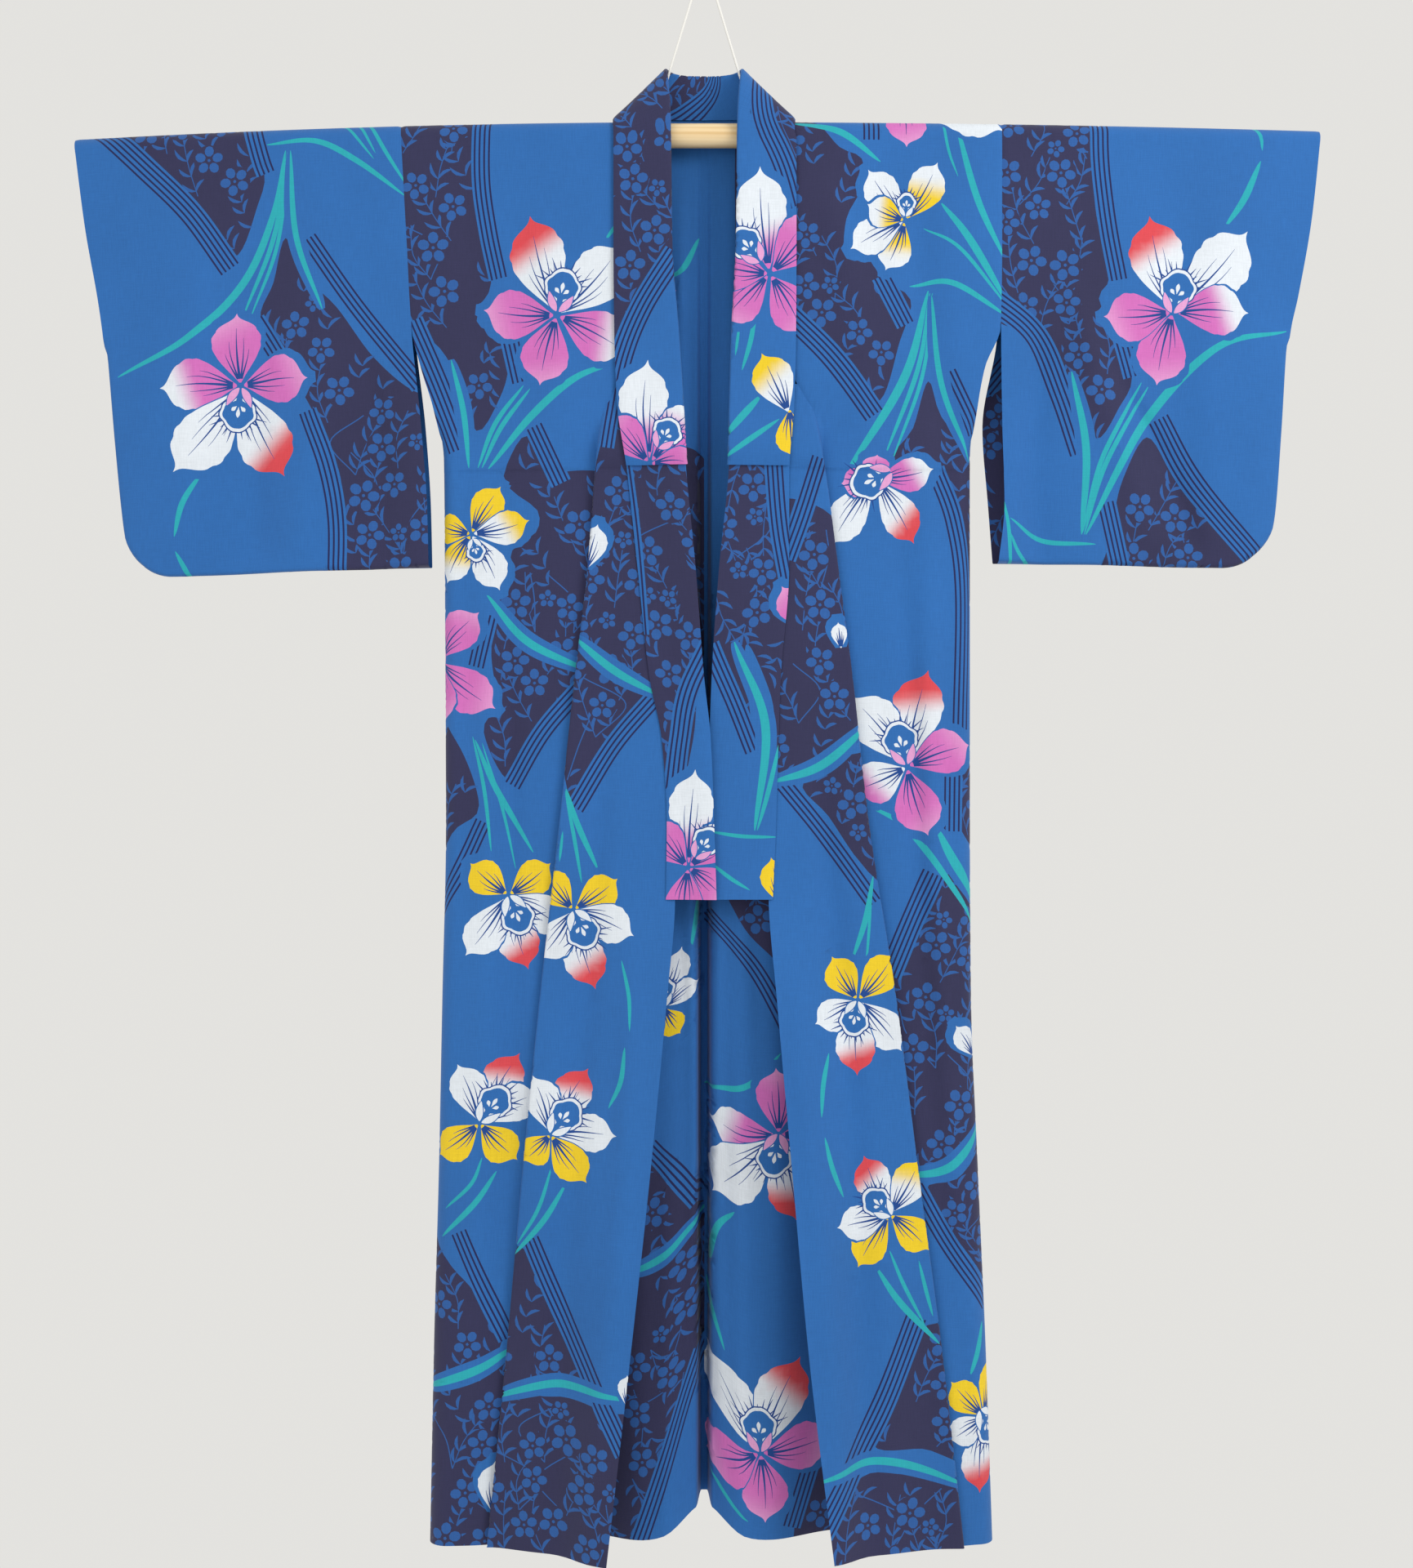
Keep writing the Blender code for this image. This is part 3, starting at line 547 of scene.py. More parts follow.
def body_back(side):
    """One back panel. At the ridge it ends beside the neck."""
    sign = SIGN[side]
    sheet = Sheet()
    rows = []
    for r, drop in enumerate(BACK_DROPS):
        v = along_warp(drop)
        row = turned_side(side, drop, 1)
        start = row[-1][1]
        near = mix(NECK_POINT + (0.002 if side == "right" else 0.0), 0.105, ramp(0.02, 0.3, drop))
        for t in np.linspace(0, 1, 22)[1:]:
            half = mix(start, near, t)
            row.append((half, half, back_depth(half, drop), 1.0))
        for half in BACK_MIDDLE:
            if half > near - 0.002:
                half = near - 0.0005 * (1 + BACK_MIDDLE.index(half))
            row.append((half, half, back_depth(half, drop), half))
        ids = []
        shared = len(TURN_ANGLES) + 21
        for c, (u, half, y, seam) in enumerate(row):
            if c >= shared and r < len(ridge_drops()) - 1:
                ids.append(None)
                continue
            z = height(side, half, drop) + hem_lift(half, drop)
            ids.append(sheet.add((sign * half, y, z), (sign * u, v), seam))
        rows.append(ids)
    sheet.grid(rows)
    return sheet


def sleeve_place(side, face, across, drop):
    """(half width, depth, drop) on a sleeve, its lower outer corner rounded."""
    table = "sleeve_" + side
    inner = at(table, "front_in" if face < 0 else "back_in", drop)
    if drop <= ARMHOLE:
        inner = at("body_" + side, "side", drop)
    outer = at(table, "out", drop) - EDGE_ROLL
    bottom = TABLES[table][-1][0] - EDGE_ROLL
    half = mix(inner, outer, across)
    a = (half - (outer - SLEEVE_CORNER)) / SLEEVE_CORNER
    b = (drop - (bottom - SLEEVE_CORNER)) / SLEEVE_CORNER
    low = drop
    if a > 0 and b > 0:
        half = outer - SLEEVE_CORNER + SLEEVE_CORNER * a * math.sqrt(1 - b * b / 2)
        low = bottom - SLEEVE_CORNER + SLEEVE_CORNER * b * math.sqrt(1 - a * a / 2)
    body = front_depth(drop) if face < 0 else over_ridge(at("depth", "back", drop), drop)
    gap = mix(body, over_ridge(at(table, "gap", drop), drop), ramp(0.0, 0.05, half - inner))
    return half, face * gap, low


def sleeve_wave(side, half, drop):
    """How far both faces of a sleeve sway together."""
    inner = TABLES["sleeve_" + side][1][1]
    wave = math.sin(2 * math.pi * (half - inner) / SLEEVE_WAVE_LENGTH + 0.6) * SLEEVE_WAVE
    return wave * ramp(0.10, 0.40, drop) * ramp(0.0, 0.06, half - inner)


SLEEVE_ACROSS = [0.0, 0.004, 0.010, 0.018, 0.030] + between(0.05, 0.95, 0.0225) + [0.97, 0.985, 1.0]


def sleeve_half(side, face):
    """The front or back of a sleeve, with its edge rolled in to the other half."""
    sign = SIGN[side]
    sheet = Sheet()
    bottom = TABLES["sleeve_" + side][-1][0] - EDGE_ROLL
    drops = ridge_drops() + between(RIDGE + 0.006, bottom - 0.008, 0.008)
    drops += [bottom - 0.004, bottom]

    def add(half, y, drop, seam):
        y += sleeve_wave(side, half, drop)
        flat = (sign * half, face * along_warp(drop))
        return sheet.add((sign * half, y, height(side, half, drop)), flat, seam)

    grid = [[sleeve_place(side, face, t, drop) for t in SLEEVE_ACROSS] for drop in drops]
    ids = []
    for row, drop in zip(grid, drops):
        edge = row[0][0]
        ids.append([add(h, y, d, h - edge if drop < ARMHOLE else 1.0) for h, y, d in row])
    sheet.grid(ids)
    path = grid[-1] + [row[-1] for row in grid[-2::-1]]
    path_ids = ids[-1] + [row[-1] for row in ids[-2::-1]]
    flat = np.array([(h, d) for h, _, d in path])
    along = np.gradient(flat, axis=0)
    along /= np.linalg.norm(along, axis=1)[:, None]
    rings = [path_ids]
    for step in (0.35, 0.65, 0.87, 1.0):
        ring = []
        narrow = math.sqrt(max(1 - step * step, 0.0))
        for k, ((half, y, drop), way) in enumerate(zip(path, along)):
            shut = ramp(ARMHOLE, HAND_OPENING, drop) if k >= len(grid[-1]) else 1.0
            out = EDGE_ROLL * step
            h, d = half - way[1] * out, max(drop + way[0] * out, 0.0)
            seam = (1 - step) * EDGE_ROLL if shut > 0.5 else 1.0
            ring.append(add(h, y * mix(1.0, narrow, shut), d, seam))
        rings.append(ring)
    sheet.grid(rings)
    return sheet


COLLAR_ACROSS = [0.0, 0.03, 0.08, 0.16, 0.24, 0.33, 0.42, 0.52, 0.62, 0.71, 0.81, 0.90, 0.96, 1.0]


# The share of the band's width that lies sewn on the panel
SEWN_SHARE = 0.16


def band_station(side, drop):
    """The collar's cross-section on the front: places from its sewn edge to its free one."""
    table = "band_" + side
    sewn = at(table, "sewn", drop)
    free = at(table, "free", drop)
    lean = mix(0.0040, 0.0075 if side == "left" else 0.0012, ramp(0.10, 0.55, drop))
    at_seam = outer_depth(side, drop, sewn) - ON_PANEL
    inside = sewn - COLLAR_WIDTH_ON_PANEL
    at_inside = min(outer_depth(side, drop, inside), at_seam + ON_PANEL) - ON_PANEL
    points = []
    for w in COLLAR_ACROSS:
        if w <= SEWN_SHARE:
            half = mix(sewn, inside, w / SEWN_SHARE)
            y = mix(at_seam, at_inside, w / SEWN_SHARE)
        else:
            half = mix(inside, free, (w - SEWN_SHARE) / (1 - SEWN_SHARE))
            y = at_inside - lean * ramp(SEWN_SHARE, 1.0, w)
        points.append((SIGN[side] * half, y, height(side, half, drop)))
    return points


def neck_station(side, row):
    """The collar's cross-section at one row of the neck's table."""
    turn, sewn_x, sewn_drop, free_x, free_y, free_rise = row
    a = math.radians(turn)
    radius = RIDGE + ON_PANEL
    if sewn_drop is None:
        sewn = (sewn_x, radius * math.sin(a), height(side, sewn_x, RIDGE) + radius * math.cos(a))
    else:
        sewn = (sewn_x, back_depth(sewn_x, sewn_drop) + ON_PANEL, height(side, sewn_x, sewn_drop))
    free = (free_x, free_y, SHOULDER_Z + free_rise)
    points = [[mix(p, q, w) for p, q in zip(sewn, free)] for w in COLLAR_ACROSS]
    if sewn_drop is not None:
        for point, w in zip(points, COLLAR_ACROSS):
            if w <= SEWN_SHARE:
                point[1] = max(point[1], back_depth(point[0], sewn_drop) + ON_PANEL)
    return [(SIGN[side] * x, y, z) for x, y, z in points]


def neck_rows():
    """The neck's table with two more stations between each two rows."""
    rows = [NECK[0]]
    for first, second in zip(NECK, NECK[1:]):
        for t in (1 / 3, 2 / 3, 1.0):
            row = []
            for a, b in zip(first, second):
                if b is None:
                    row.append(None)
                elif a is None:
                    row.append(mix(RIDGE, b, t))
                else:
                    row.append(mix(a, b, t))
            rows.append(tuple(row))
    return rows


@functools.lru_cache(maxsize=None)
def collar_stations():
    """Every station from the left end round the neck to the right: (drop, length, points)."""
    halves = {}
    for side in ("left", "right"):
        neck = [neck_station(side, row) for row in neck_rows()]
        middle = np.array([s[7] for s in neck])
        steps = np.linalg.norm(np.diff(middle, axis=0), axis=1)
        left_over = np.concatenate([np.cumsum(steps[::-1])[::-1], [0.0]])
        drops = between(RIDGE + 0.008, COVER_END - 0.002, 0.009)
        drops += [COVER_END, COVER_END + 0.002] + between(COVER_END + 0.008, COLLAR_END, 0.009)
        stations = [(d, left_over[0] + d - RIDGE, band_station(side, d)) for d in reversed(drops)]
        stations += [(0.0, length, points) for length, points in zip(left_over, neck)]
        halves[side] = stations
    left = [(d, -length, points) for d, length, points in halves["left"]]
    right = [(d, length, points) for d, length, points in halves["right"]]
    return left + right[::-1][1:]


def nape_length():
    """Length of collar from the middle of the nape to the front of the shoulder."""
    return max(length for drop, length, _ in collar_stations() if drop == 0.0)


def station_widths(points):
    """Each point's distance along the cross-section from the sewn edge."""
    p = np.array(points)
    return np.concatenate([[0.0], np.cumsum(np.linalg.norm(np.diff(p, axis=0), axis=1))])


def collar_sheet():
    """The collar, flat as a straight band: width across, length from the middle of the nape."""
    sheet = Sheet()
    rows = []
    for _, length, points in collar_stations():
        widths = station_widths(points)
        rows.append([sheet.add(p, (w, length), w) for p, w in zip(points, widths)])
    sheet.grid(rows)
    return sheet


def cover_sheet():
    """The second band, folded round the collar's free edge."""
    stations = collar_stations()
    places = np.array([points for _, _, points in stations])
    down = np.gradient(places, axis=0)
    across = np.gradient(places, axis=1)
    normals = np.cross(across, down)
    normals /= np.linalg.norm(normals, axis=2)[:, :, None]
    off = COLLAR_CLOTH / 2 + LAID_GAP + COVER_CLOTH / 2
    sheet = Sheet()
    rows = []
    for (drop, length, points), place, normal in zip(stations, places, normals):
        if drop > COVER_END + 1e-6:
            continue
        widths = station_widths(points)
        outward = place[-1] - place[-2]
        outward /= np.linalg.norm(outward)
        row = []
        for p, n, w in zip(place, normal, widths):
            row.append(sheet.add(tuple(p + off * n), (w, length), w))
        for angle in (20, 45, 70, 90, 110, 135, 160):
            a = math.radians(angle)
            p = place[-1] + off * (math.cos(a) * normal[-1] + math.sin(a) * outward)
            row.append(sheet.add(tuple(p), (widths[-1] + off * a, length)))
        for i in range(len(place) - 1, 5, -1):
            w = widths[-1] * 2 + off * math.pi - widths[i]
            row.append(sheet.add(tuple(place[i] - off * normal[i]), (w, length)))
        rows.append(row)
    sheet.grid(rows)
    return sheet


# Print

def linear(red, green, blue):
    """A colour given as it looks on a screen, from 0 to 255."""
    return tuple((c / 255) ** 2.2 for c in (red, green, blue))


GROUND = linear(47, 104, 173)
NAVY = linear(53, 53, 84)
SPRIG = linear(48, 92, 158)
LINE = linear(37, 41, 84)
VEIN = linear(34, 72, 140)
TEAL = linear(44, 165, 176)
WHITE = linear(221, 228, 236)
PINK = linear(204, 108, 182)
PALE_PINK = linear(222, 158, 206)
RED = linear(214, 74, 82)
YELLOW = linear(234, 200, 44)

# Base colour, tip colour and where along the petal one turns into the other
PETALS = {
    "p": (PINK, PALE_PINK, 0.55, 1.15),
    "q": (PINK, WHITE, 0.50, 0.85),
    "u": (PINK, WHITE, 0.22, 0.50),
    "w": (WHITE, WHITE, 0.0, 1.0),
    "r": (WHITE, RED, 0.52, 0.80),
    "s": (WHITE, PINK, 0.45, 0.85),
    "y": (YELLOW, YELLOW, 0.0, 1.0),
    "z": (YELLOW, WHITE, 0.42, 0.75),
    "x": (WHITE, YELLOW, 0.45, 0.80),
}

# Millimetres of cloth: between sprigs, of the ground round a flower, and between its petals
SPRIG_PITCH = 50.0
RIM = 5.5
PETAL_GAP = 1.7

# Half width of a petal along it, as shares of its length
PETAL_FORM = [(0.05, 0.012), (0.14, 0.070), (0.26, 0.155), (0.40, 0.240), (0.54, 0.286)]
PETAL_FORM += [(0.68, 0.280), (0.79, 0.226), (0.87, 0.136), (0.925, 0.050), (0.96, 0.018), (1.0, 0.0)]

# What is printed on each panel, placed by the photograph. A band is the outline of a dark field.
# A stripe group and a blade follow a path. A blade has a width in mm, and may have a rim.
# An orchid has its middle, its lip's middle, the lip's radius in mm, five petals and their tips.
PRINT = {
    "sleeve_left": [
        ("band", (128, 140), (299, 140), (307, 177), (324, 213), (317, 249), (286, 315), (233, 244),
         (177, 193)),
        ("band", (350, 292), (373, 338), (412, 376), (458, 438), (511, 481), (560, 483), (560, 730),
         (417, 730), (418, 601), (404, 550), (381, 499), (350, 448), (319, 392), (335, 346)),
        ("stripes", 5, (110, 156), (174, 204), (233, 262), (282, 330)),
        ("stripes", 4, (304, 145), (320, 193), (327, 213)),
        ("stripes", 4, (378, 292), (437, 376), (515, 472)),
        ("stripes", 4, (312, 392), (345, 445)),
        ("stripes", 4, (376, 504), (399, 570), (410, 637), (409, 720)),
        ("blade", 8, 0, (350, 185), (335, 264), (299, 346), (233, 412), (144, 462)),
        ("blade", 5, 0, (352, 187), (336, 290), (298, 387)),
        ("blade", 4, 0, (354, 190), (340, 300), (307, 389)),
        ("blade", 6, 1, (356, 185), (363, 290), (395, 379)),
        ("blade", 6, 0, (327, 178), (386, 173), (437, 197), (496, 240)),
        ("blade", 3, 0, (404, 140), (458, 195)),
        ("blade", 3, 0, (428, 140), (460, 188)),
        ("blade", 4, 0, (441, 140), (470, 182), (500, 230)),
        ("blade", 6, 0, (246, 578), (223, 616), (213, 657)),
        ("blade", 5, 0, (214, 675), (237, 720)),
        ("orchid", "pqwrp", (294, 472), (290, 505), 15, (290, 384), (196, 476), (212, 578),
         (348, 583), (377, 463)),
    ],
    "sleeve_right": [
        ("band", (1200, 130), (1337, 130), (1337, 188), (1342, 264), (1359, 336), (1345, 366),
         (1366, 407), (1386, 463), (1370, 499), (1342, 537), (1322, 473), (1299, 453), (1263, 412),
         (1200, 360)),
        ("band", (1406, 534), (1437, 575), (1477, 626), (1540, 700), (1503, 720), (1360, 720),
         (1363, 647), (1375, 586)),
        ("stripes", 4, (1347, 140), (1348, 198), (1357, 274), (1370, 343)),
        ("stripes", 4, (1372, 407), (1388, 461)),
        ("stripes", 5, (1215, 366), (1268, 412), (1299, 483), (1323, 555)),
        ("stripes", 5, (1420, 512), (1467, 596), (1550, 696)),
        ("stripes", 4, (1354, 615), (1374, 700)),
        ("blade", 8, 1, (1325, 654), (1330, 550), (1312, 455)),
        ("blade", 5, 0, (1326, 652), (1350, 560), (1398, 468)),
        ("blade", 5, 0, (1328, 654), (1355, 565), (1407, 472)),
        ("blade", 9, 0, (1330, 654), (1401, 519), (1488, 427), (1575, 406)),
        ("blade", 7, 0, (1543, 198), (1523, 244), (1499, 279)),
        ("blade", 4, 0, (1532, 150), (1543, 167), (1545, 185)),
        ("blade", 4, 0, (1227, 606), (1235, 647), (1238, 710)),
        ("blade", 5, 0, (1237, 634), (1278, 661), (1342, 666)),
        ("blade", 4, 0, (1237, 652), (1248, 677), (1271, 705)),
        ("orchid", "rwqpp", (1436, 382), (1442, 353), 15, (1407, 265), (1527, 284), (1528, 384),
         (1417, 471), (1351, 388)),
    ],
    "body_left": [
        ("band", (480, 120), (583, 120), (580, 213), (590, 290), (601, 346), (583, 392), (608, 412),
         (622, 448), (611, 489), (583, 527), (557, 458), (539, 427), (503, 387), (480, 264)),
        ("stripes", 4, (592, 130), (590, 213), (598, 279), (611, 341)),
        ("stripes", 4, (622, 402), (637, 468)),
        ("stripes", 6, (500, 395), (532, 468), (564, 550)),
        ("band", (621, 568), (645, 534), (668, 591), (621, 593)),
        ("stripes", 4, (654, 522), (687, 592)),
        ("blade", 6, 1, (574, 573), (567, 504), (552, 440)),
        ("blade", 5, 0, (585, 573), (606, 519), (641, 472)),
        ("blade", 5, 0, (590, 573), (613, 524), (649, 476)),
        ("blade", 8, 0, (598, 574), (651, 509), (705, 463), (753, 444)),
        ("blade", 4, 0, (741, 294), (761, 267)),
        ("orchid", "rwqpp", (682, 387), (689, 352), 15, (649, 265), (761, 300), (768, 432),
         (661, 472), (592, 379)),
        ("orchid", "yxwzy", (577, 654), (583, 676), 8, (613, 596), (648, 637), (612, 723), (545, 714),
         (530, 640)),
        ("band", (627, 592), (760, 592), (740, 790), (704, 850), (665, 893), (626, 957), (593, 897),
         (608, 861), (602, 803), (605, 754), (596, 730), (622, 719), (627, 674), (656, 652),
         (658, 625)),
        ("stripes", 4, (712, 842), (665, 897), (627, 962)),
        ("stripes", 4, (598, 753), (583, 817)),
        ("band", (520, 880), (560, 910), (587, 986), (560, 1013), (520, 1040)),
        ("stripes", 4, (592, 1006), (560, 1071), (520, 1130)),
        ("blade", 8, 1, (596, 728), (645, 785), (724, 823)),
        ("blade", 4, 0, (579, 902), (593, 964), (602, 1042)),
        ("blade", 6, 0, (582, 906), (609, 968), (653, 1044)),
        ("blade", 3, 0, (591, 910), (614, 986), (631, 1064)),
        ("orchid", "ppppp", (529, 808), (518, 790), 15, (587, 750), (607, 868), (533, 888),
         (457, 830), (498, 732)),
        ("orchid", "yywrw", (622, 1096), (634, 1124), 14, (576, 1057), (674, 1057), (690, 1138),
         (647, 1187), (570, 1170)),
        ("orchid", "rwwyy", (588, 1374), (606, 1349), 14, (636, 1290), (560, 1303), (660, 1338),
         (633, 1421), (532, 1416)),
        ("blade", 4, 0, (591, 1416), (578, 1448), (545, 1480)),
        ("blade", 6, 0, (608, 1434), (583, 1471), (540, 1515)),
        ("stripes", 4, (562, 1508), (588, 1567), (622, 1640)),
        ("band", (510, 1520), (560, 1558), (588, 1590), (614, 1643), (588, 1664), (510, 1690)),
        ("band", (510, 1720), (588, 1690), (630, 1664), (630, 1950), (510, 1950)),
        ("blade", 9, 1, (510, 1704), (588, 1675), (630, 1650)),
        ("petal", "w", (603, 1856), (606, 1790)),
    ],
    "overlap_left": [
        ("stripes", 3, (758, 452), (750, 500), (742, 548)),
        ("band", (716, 640), (730, 566), (750, 505), (770, 490), (800, 560), (800, 674), (812, 790),
         (801, 828), (797, 855), (752, 906), (707, 977), (692, 955), (680, 852), (680, 700)),
        ("stripes", 4, (806, 850), (752, 913), (705, 990)),
        ("blade", 8, 1, (700, 778), (752, 821), (808, 852)),
        ("blade", 6, 0, (693, 966), (707, 1009), (732, 1066)),
        ("blade", 4, 0, (692, 968), (703, 1026), (712, 1081)),
        ("blade", 3, 0, (689, 1018), (685, 1055)),
        ("orchid", "yywrw", (702, 1114), (714, 1142), 14, (664, 1067), (756, 1076), (776, 1146),
         (729, 1212), (660, 1175)),
        ("blade", 4, 0, (761, 1176), (770, 1220), (771, 1262)),
        ("blade", 5, 0, (765, 1282), (760, 1324), (745, 1357)),
        ("orchid", "rwwyy", (674, 1389), (693, 1366), 14, (720, 1309), (652, 1317), (755, 1391),
         (718, 1449), (640, 1422)),
        ("blade", 4, 0, (676, 1427), (659, 1480), (633, 1524)),
        ("blade", 6, 0, (693, 1450), (666, 1494), (629, 1537)),
        ("stripes", 4, (650, 1517), (684, 1599), (721, 1682), (765, 1782)),
        ("band", (600, 1545), (645, 1531), (675, 1581), (702, 1641), (728, 1689), (675, 1694),
         (590, 1700)),
        ("band", (590, 1728), (675, 1712), (744, 1728), (790, 1760), (790, 1960), (570, 1960)),
        ("blade", 8, 1, (595, 1716), (675, 1696), (770, 1716)),
        ("petal", "w", (768, 1725), (768, 1684)),
        ("petal", "w", (716, 700), (732, 642)),
    ],
    "back_left": [
        ("stripes", 4, (795, 1404), (822, 1439), (856, 1488)),
        ("orchid", "pqwrp", (750, 372), (747, 402), 14, (746, 288), (668, 376), (680, 462),
         (800, 466), (828, 356)),
        ("blade", 5, 0, (712, 470), (700, 520), (698, 570)),
        ("stripes", 4, (744, 640), (720, 830), (768, 1090)),
        ("band", (792, 560), (876, 590), (876, 900), (836, 1000), (786, 1080), (762, 960), (738, 820),
         (752, 680)),
        ("blade", 7, 1, (722, 800), (770, 850), (840, 880)),
        ("band", (780, 1405), (817, 1457), (866, 1510), (817, 1535), (760, 1554)),
        ("band", (760, 1575), (817, 1554), (872, 1515), (866, 1640), (854, 1687), (817, 1788),
         (783, 1920), (720, 1920), (740, 1659)),
        ("blade", 8, 1, (765, 1560), (817, 1542), (866, 1502)),
        ("stripes", 4, (861, 1668), (831, 1756), (783, 1890)),
        ("blade", 5, 0, (855, 1107), (852, 1138), (846, 1176)),
        ("orchid", "wwyxy", (812, 1236), (812, 1216), 10, (835, 1168), (856, 1215), (833, 1276),
         (790, 1269), (776, 1200)),
        ("blade", 6, 0, (816, 340), (836, 330), (856, 292)),
    ],
    "back_right": [
        ("stripes", 4, (864, 1130), (926, 1190), (990, 1310)),
        ("band", (905, 130), (962, 130), (955, 260), (938, 400), (912, 500), (903, 400)),
        ("stripes", 4, (974, 130), (966, 270), (946, 420), (915, 530)),
        ("orchid", "rwqpp", (965, 742), (972, 710), 14, (932, 638), (1040, 665), (1046, 790),
         (944, 828), (885, 738)),
        ("blade", 8, 1, (880, 900), (940, 960), (1010, 985)),
        ("blade", 4, 0, (905, 925), (925, 985), (930, 1040)),
        ("band", (848, 1010), (930, 985), (1010, 1060), (1046, 1190), (1020, 1300), (960, 1190),
         (905, 1130)),
        ("blade", 6, 0, (861, 1349), (918, 1331), (956, 1290)),
        ("orchid", "pqwrp", (953, 1390), (948, 1420), 15, (950, 1308), (868, 1384), (872, 1482),
         (976, 1496), (1035, 1380)),
        ("blade", 6, 0, (899, 1494), (877, 1526), (868, 1567)),
        ("blade", 5, 0, (865, 1590), (872, 1632), (887, 1672)),
        ("orchid", "wrppp", (931, 1781), (929, 1749), 15, (865, 1668), (980, 1661), (1018, 1758),
         (937, 1866), (865, 1804)),
        ("stripes", 4, (992, 1792), (968, 1870)),
        ("band", (1001, 1769), (1080, 1774), (1080, 1920), (975, 1920)),
        ("blade", 5, 0, (865, 1806), (881, 1843), (916, 1868)),
    ],
    "overlap_right": [
        ("band", (930, 620), (1026, 640), (1040, 790), (1060, 893), (1006, 933), (940, 952),
         (930, 852), (930, 763)),
        ("stripes", 4, (1004, 560), (982, 629), (962, 684)),
        ("blade", 9, 1, (945, 958), (1006, 937), (1066, 886)),
        ("band", (984, 957), (1070, 927), (1080, 1070), (1051, 1053), (1015, 1000)),
        ("stripes", 4, (959, 960), (1011, 1024), (1070, 1106)),
        ("blade", 6, 0, (1069, 1073), (1060, 1125), (1044, 1174)),
        ("blade", 3, 0, (1067, 1087), (1064, 1138), (1060, 1187)),
        ("petal", "w", (1030, 795), (1026, 762)),
        ("orchid", "yywrw", (1050, 1225), (1046, 1251), 12, (1019, 1172), (1095, 1168), (1104, 1287),
         (1050, 1318), (998, 1254)),
        ("blade", 5, 0, (1015, 1290), (1008, 1329), (1006, 1368)),
        ("blade", 5, 0, (1010, 1393), (1019, 1430), (1033, 1467)),
        ("orchid", "rxyyw", (1089, 1487), (1073, 1472), 12, (1058, 1416), (1126, 1420), (1138, 1531),
         (1051, 1554), (1025, 1504)),
        ("blade", 7, 0, (1072, 1551), (1102, 1595), (1150, 1645)),
        ("blade", 4, 0, (1089, 1531), (1106, 1572), (1132, 1622)),
        ("blade", 4, 0, (1125, 1544), (1134, 1581), (1142, 1611)),
        ("stripes", 5, (1122, 1612), (1083, 1714), (1047, 1792), (1005, 1880)),
        ("band", (1127, 1627), (1190, 1641), (1190, 1779), (1129, 1774), (1070, 1772), (1097, 1710)),
        ("band", (1056, 1811), (1111, 1806), (1200, 1826), (1200, 1960), (990, 1960), (1012, 1866)),
        ("blade", 8, 1, (998, 1818), (1083, 1790), (1185, 1818)),
    ],
    "body_right": [
        ("band", (950, 120), (1000, 150), (1028, 180), (1055, 194), (1056, 228), (1036, 269),
         (1036, 318), (1070, 318), (1077, 341), (1115, 366), (1102, 417), (1072, 493), (1013, 417),
         (950, 360)),
        ("stripes", 5, (960, 380), (1018, 438), (1070, 509)),
        ("stripes", 4, (1079, 338), (1110, 397)),
        ("stripes", 4, (1067, 130), (1067, 171)),
        ("orchid", "ppwpp", (1115, 120), (1125, 100), 15, (1079, 60), (1161, 60), (1230, 160),
         (1110, 180), (1054, 131)),
        ("blade", 7, 0, (965, 149), (1028, 161), (1078, 198)),
        ("blade", 3, 0, (1152, 140), (1161, 182), (1173, 216)),
        ("blade", 7, 0, (1170, 150), (1197, 244), (1232, 320)),
        ("blade", 8, 0, (1152, 248), (1187, 292), (1232, 368)),
        ("blade", 4, 0, (1131, 279), (1176, 304), (1232, 373)),
        ("blade", 6, 0, (1114, 350), (1166, 346), (1232, 386)),
        ("blade", 9, 0, (1137, 355), (1107, 463), (1032, 586)),
        ("blade", 5, 0, (1139, 358), (1125, 448), (1084, 557)),
        ("blade", 4, 0, (1142, 358), (1130, 458), (1092, 565)),
        ("blade", 6, 1, (1141, 361), (1153, 468), (1189, 565)),
        ("band", (1137, 466), (1153, 509), (1192, 555), (1210, 572), (1097, 565), (1118, 524)),
        ("stripes", 4, (1161, 455), (1196, 530)),
        ("orchid", "wzzwz", (1108, 270), (1110, 248), 8, (1063, 208), (1148, 199), (1084, 331),
         (1041, 306), (1062, 250)),
        ("orchid", "pqrwp", (1072, 586), (1063, 590), 15, (1074, 557), (1143, 574), (1119, 666),
         (1017, 668), (1030, 592)),
        ("stripes", 4, (1144, 574), (1167, 638), (1179, 727), (1176, 893)),
        ("band", (1151, 576), (1220, 576), (1220, 732), (1183, 727), (1171, 634)),
        ("orchid", "rwspp", (1111, 939), (1102, 906), 15, (1136, 821), (1040, 852), (1046, 968),
         (1136, 1023), (1190, 912)),
        ("blade", 7, 0, (1064, 986), (1118, 1022), (1200, 1135)),
        ("blade", 10, 1, (1146, 1013), (1167, 1053), (1204, 1110)),
        ("stripes", 4, (1166, 942), (1165, 1018)),
        ("band", (1176, 945), (1220, 945), (1220, 1040), (1175, 1014)),
        ("stripes", 5, (1142, 1069), (1113, 1134), (1088, 1194)),
        ("band", (1150, 1073), (1220, 1107), (1220, 1200), (1220, 1384), (1166, 1420), (1100, 1436),
         (1070, 1338), (1080, 1200), (1111, 1174)),
        ("blade", 9, 1, (1104, 1440), (1161, 1430), (1210, 1376)),
        ("band", (1134, 1457), (1171, 1443), (1230, 1400), (1230, 1570), (1171, 1517)),
        ("stripes", 4, (1120, 1452), (1161, 1524), (1215, 1600)),
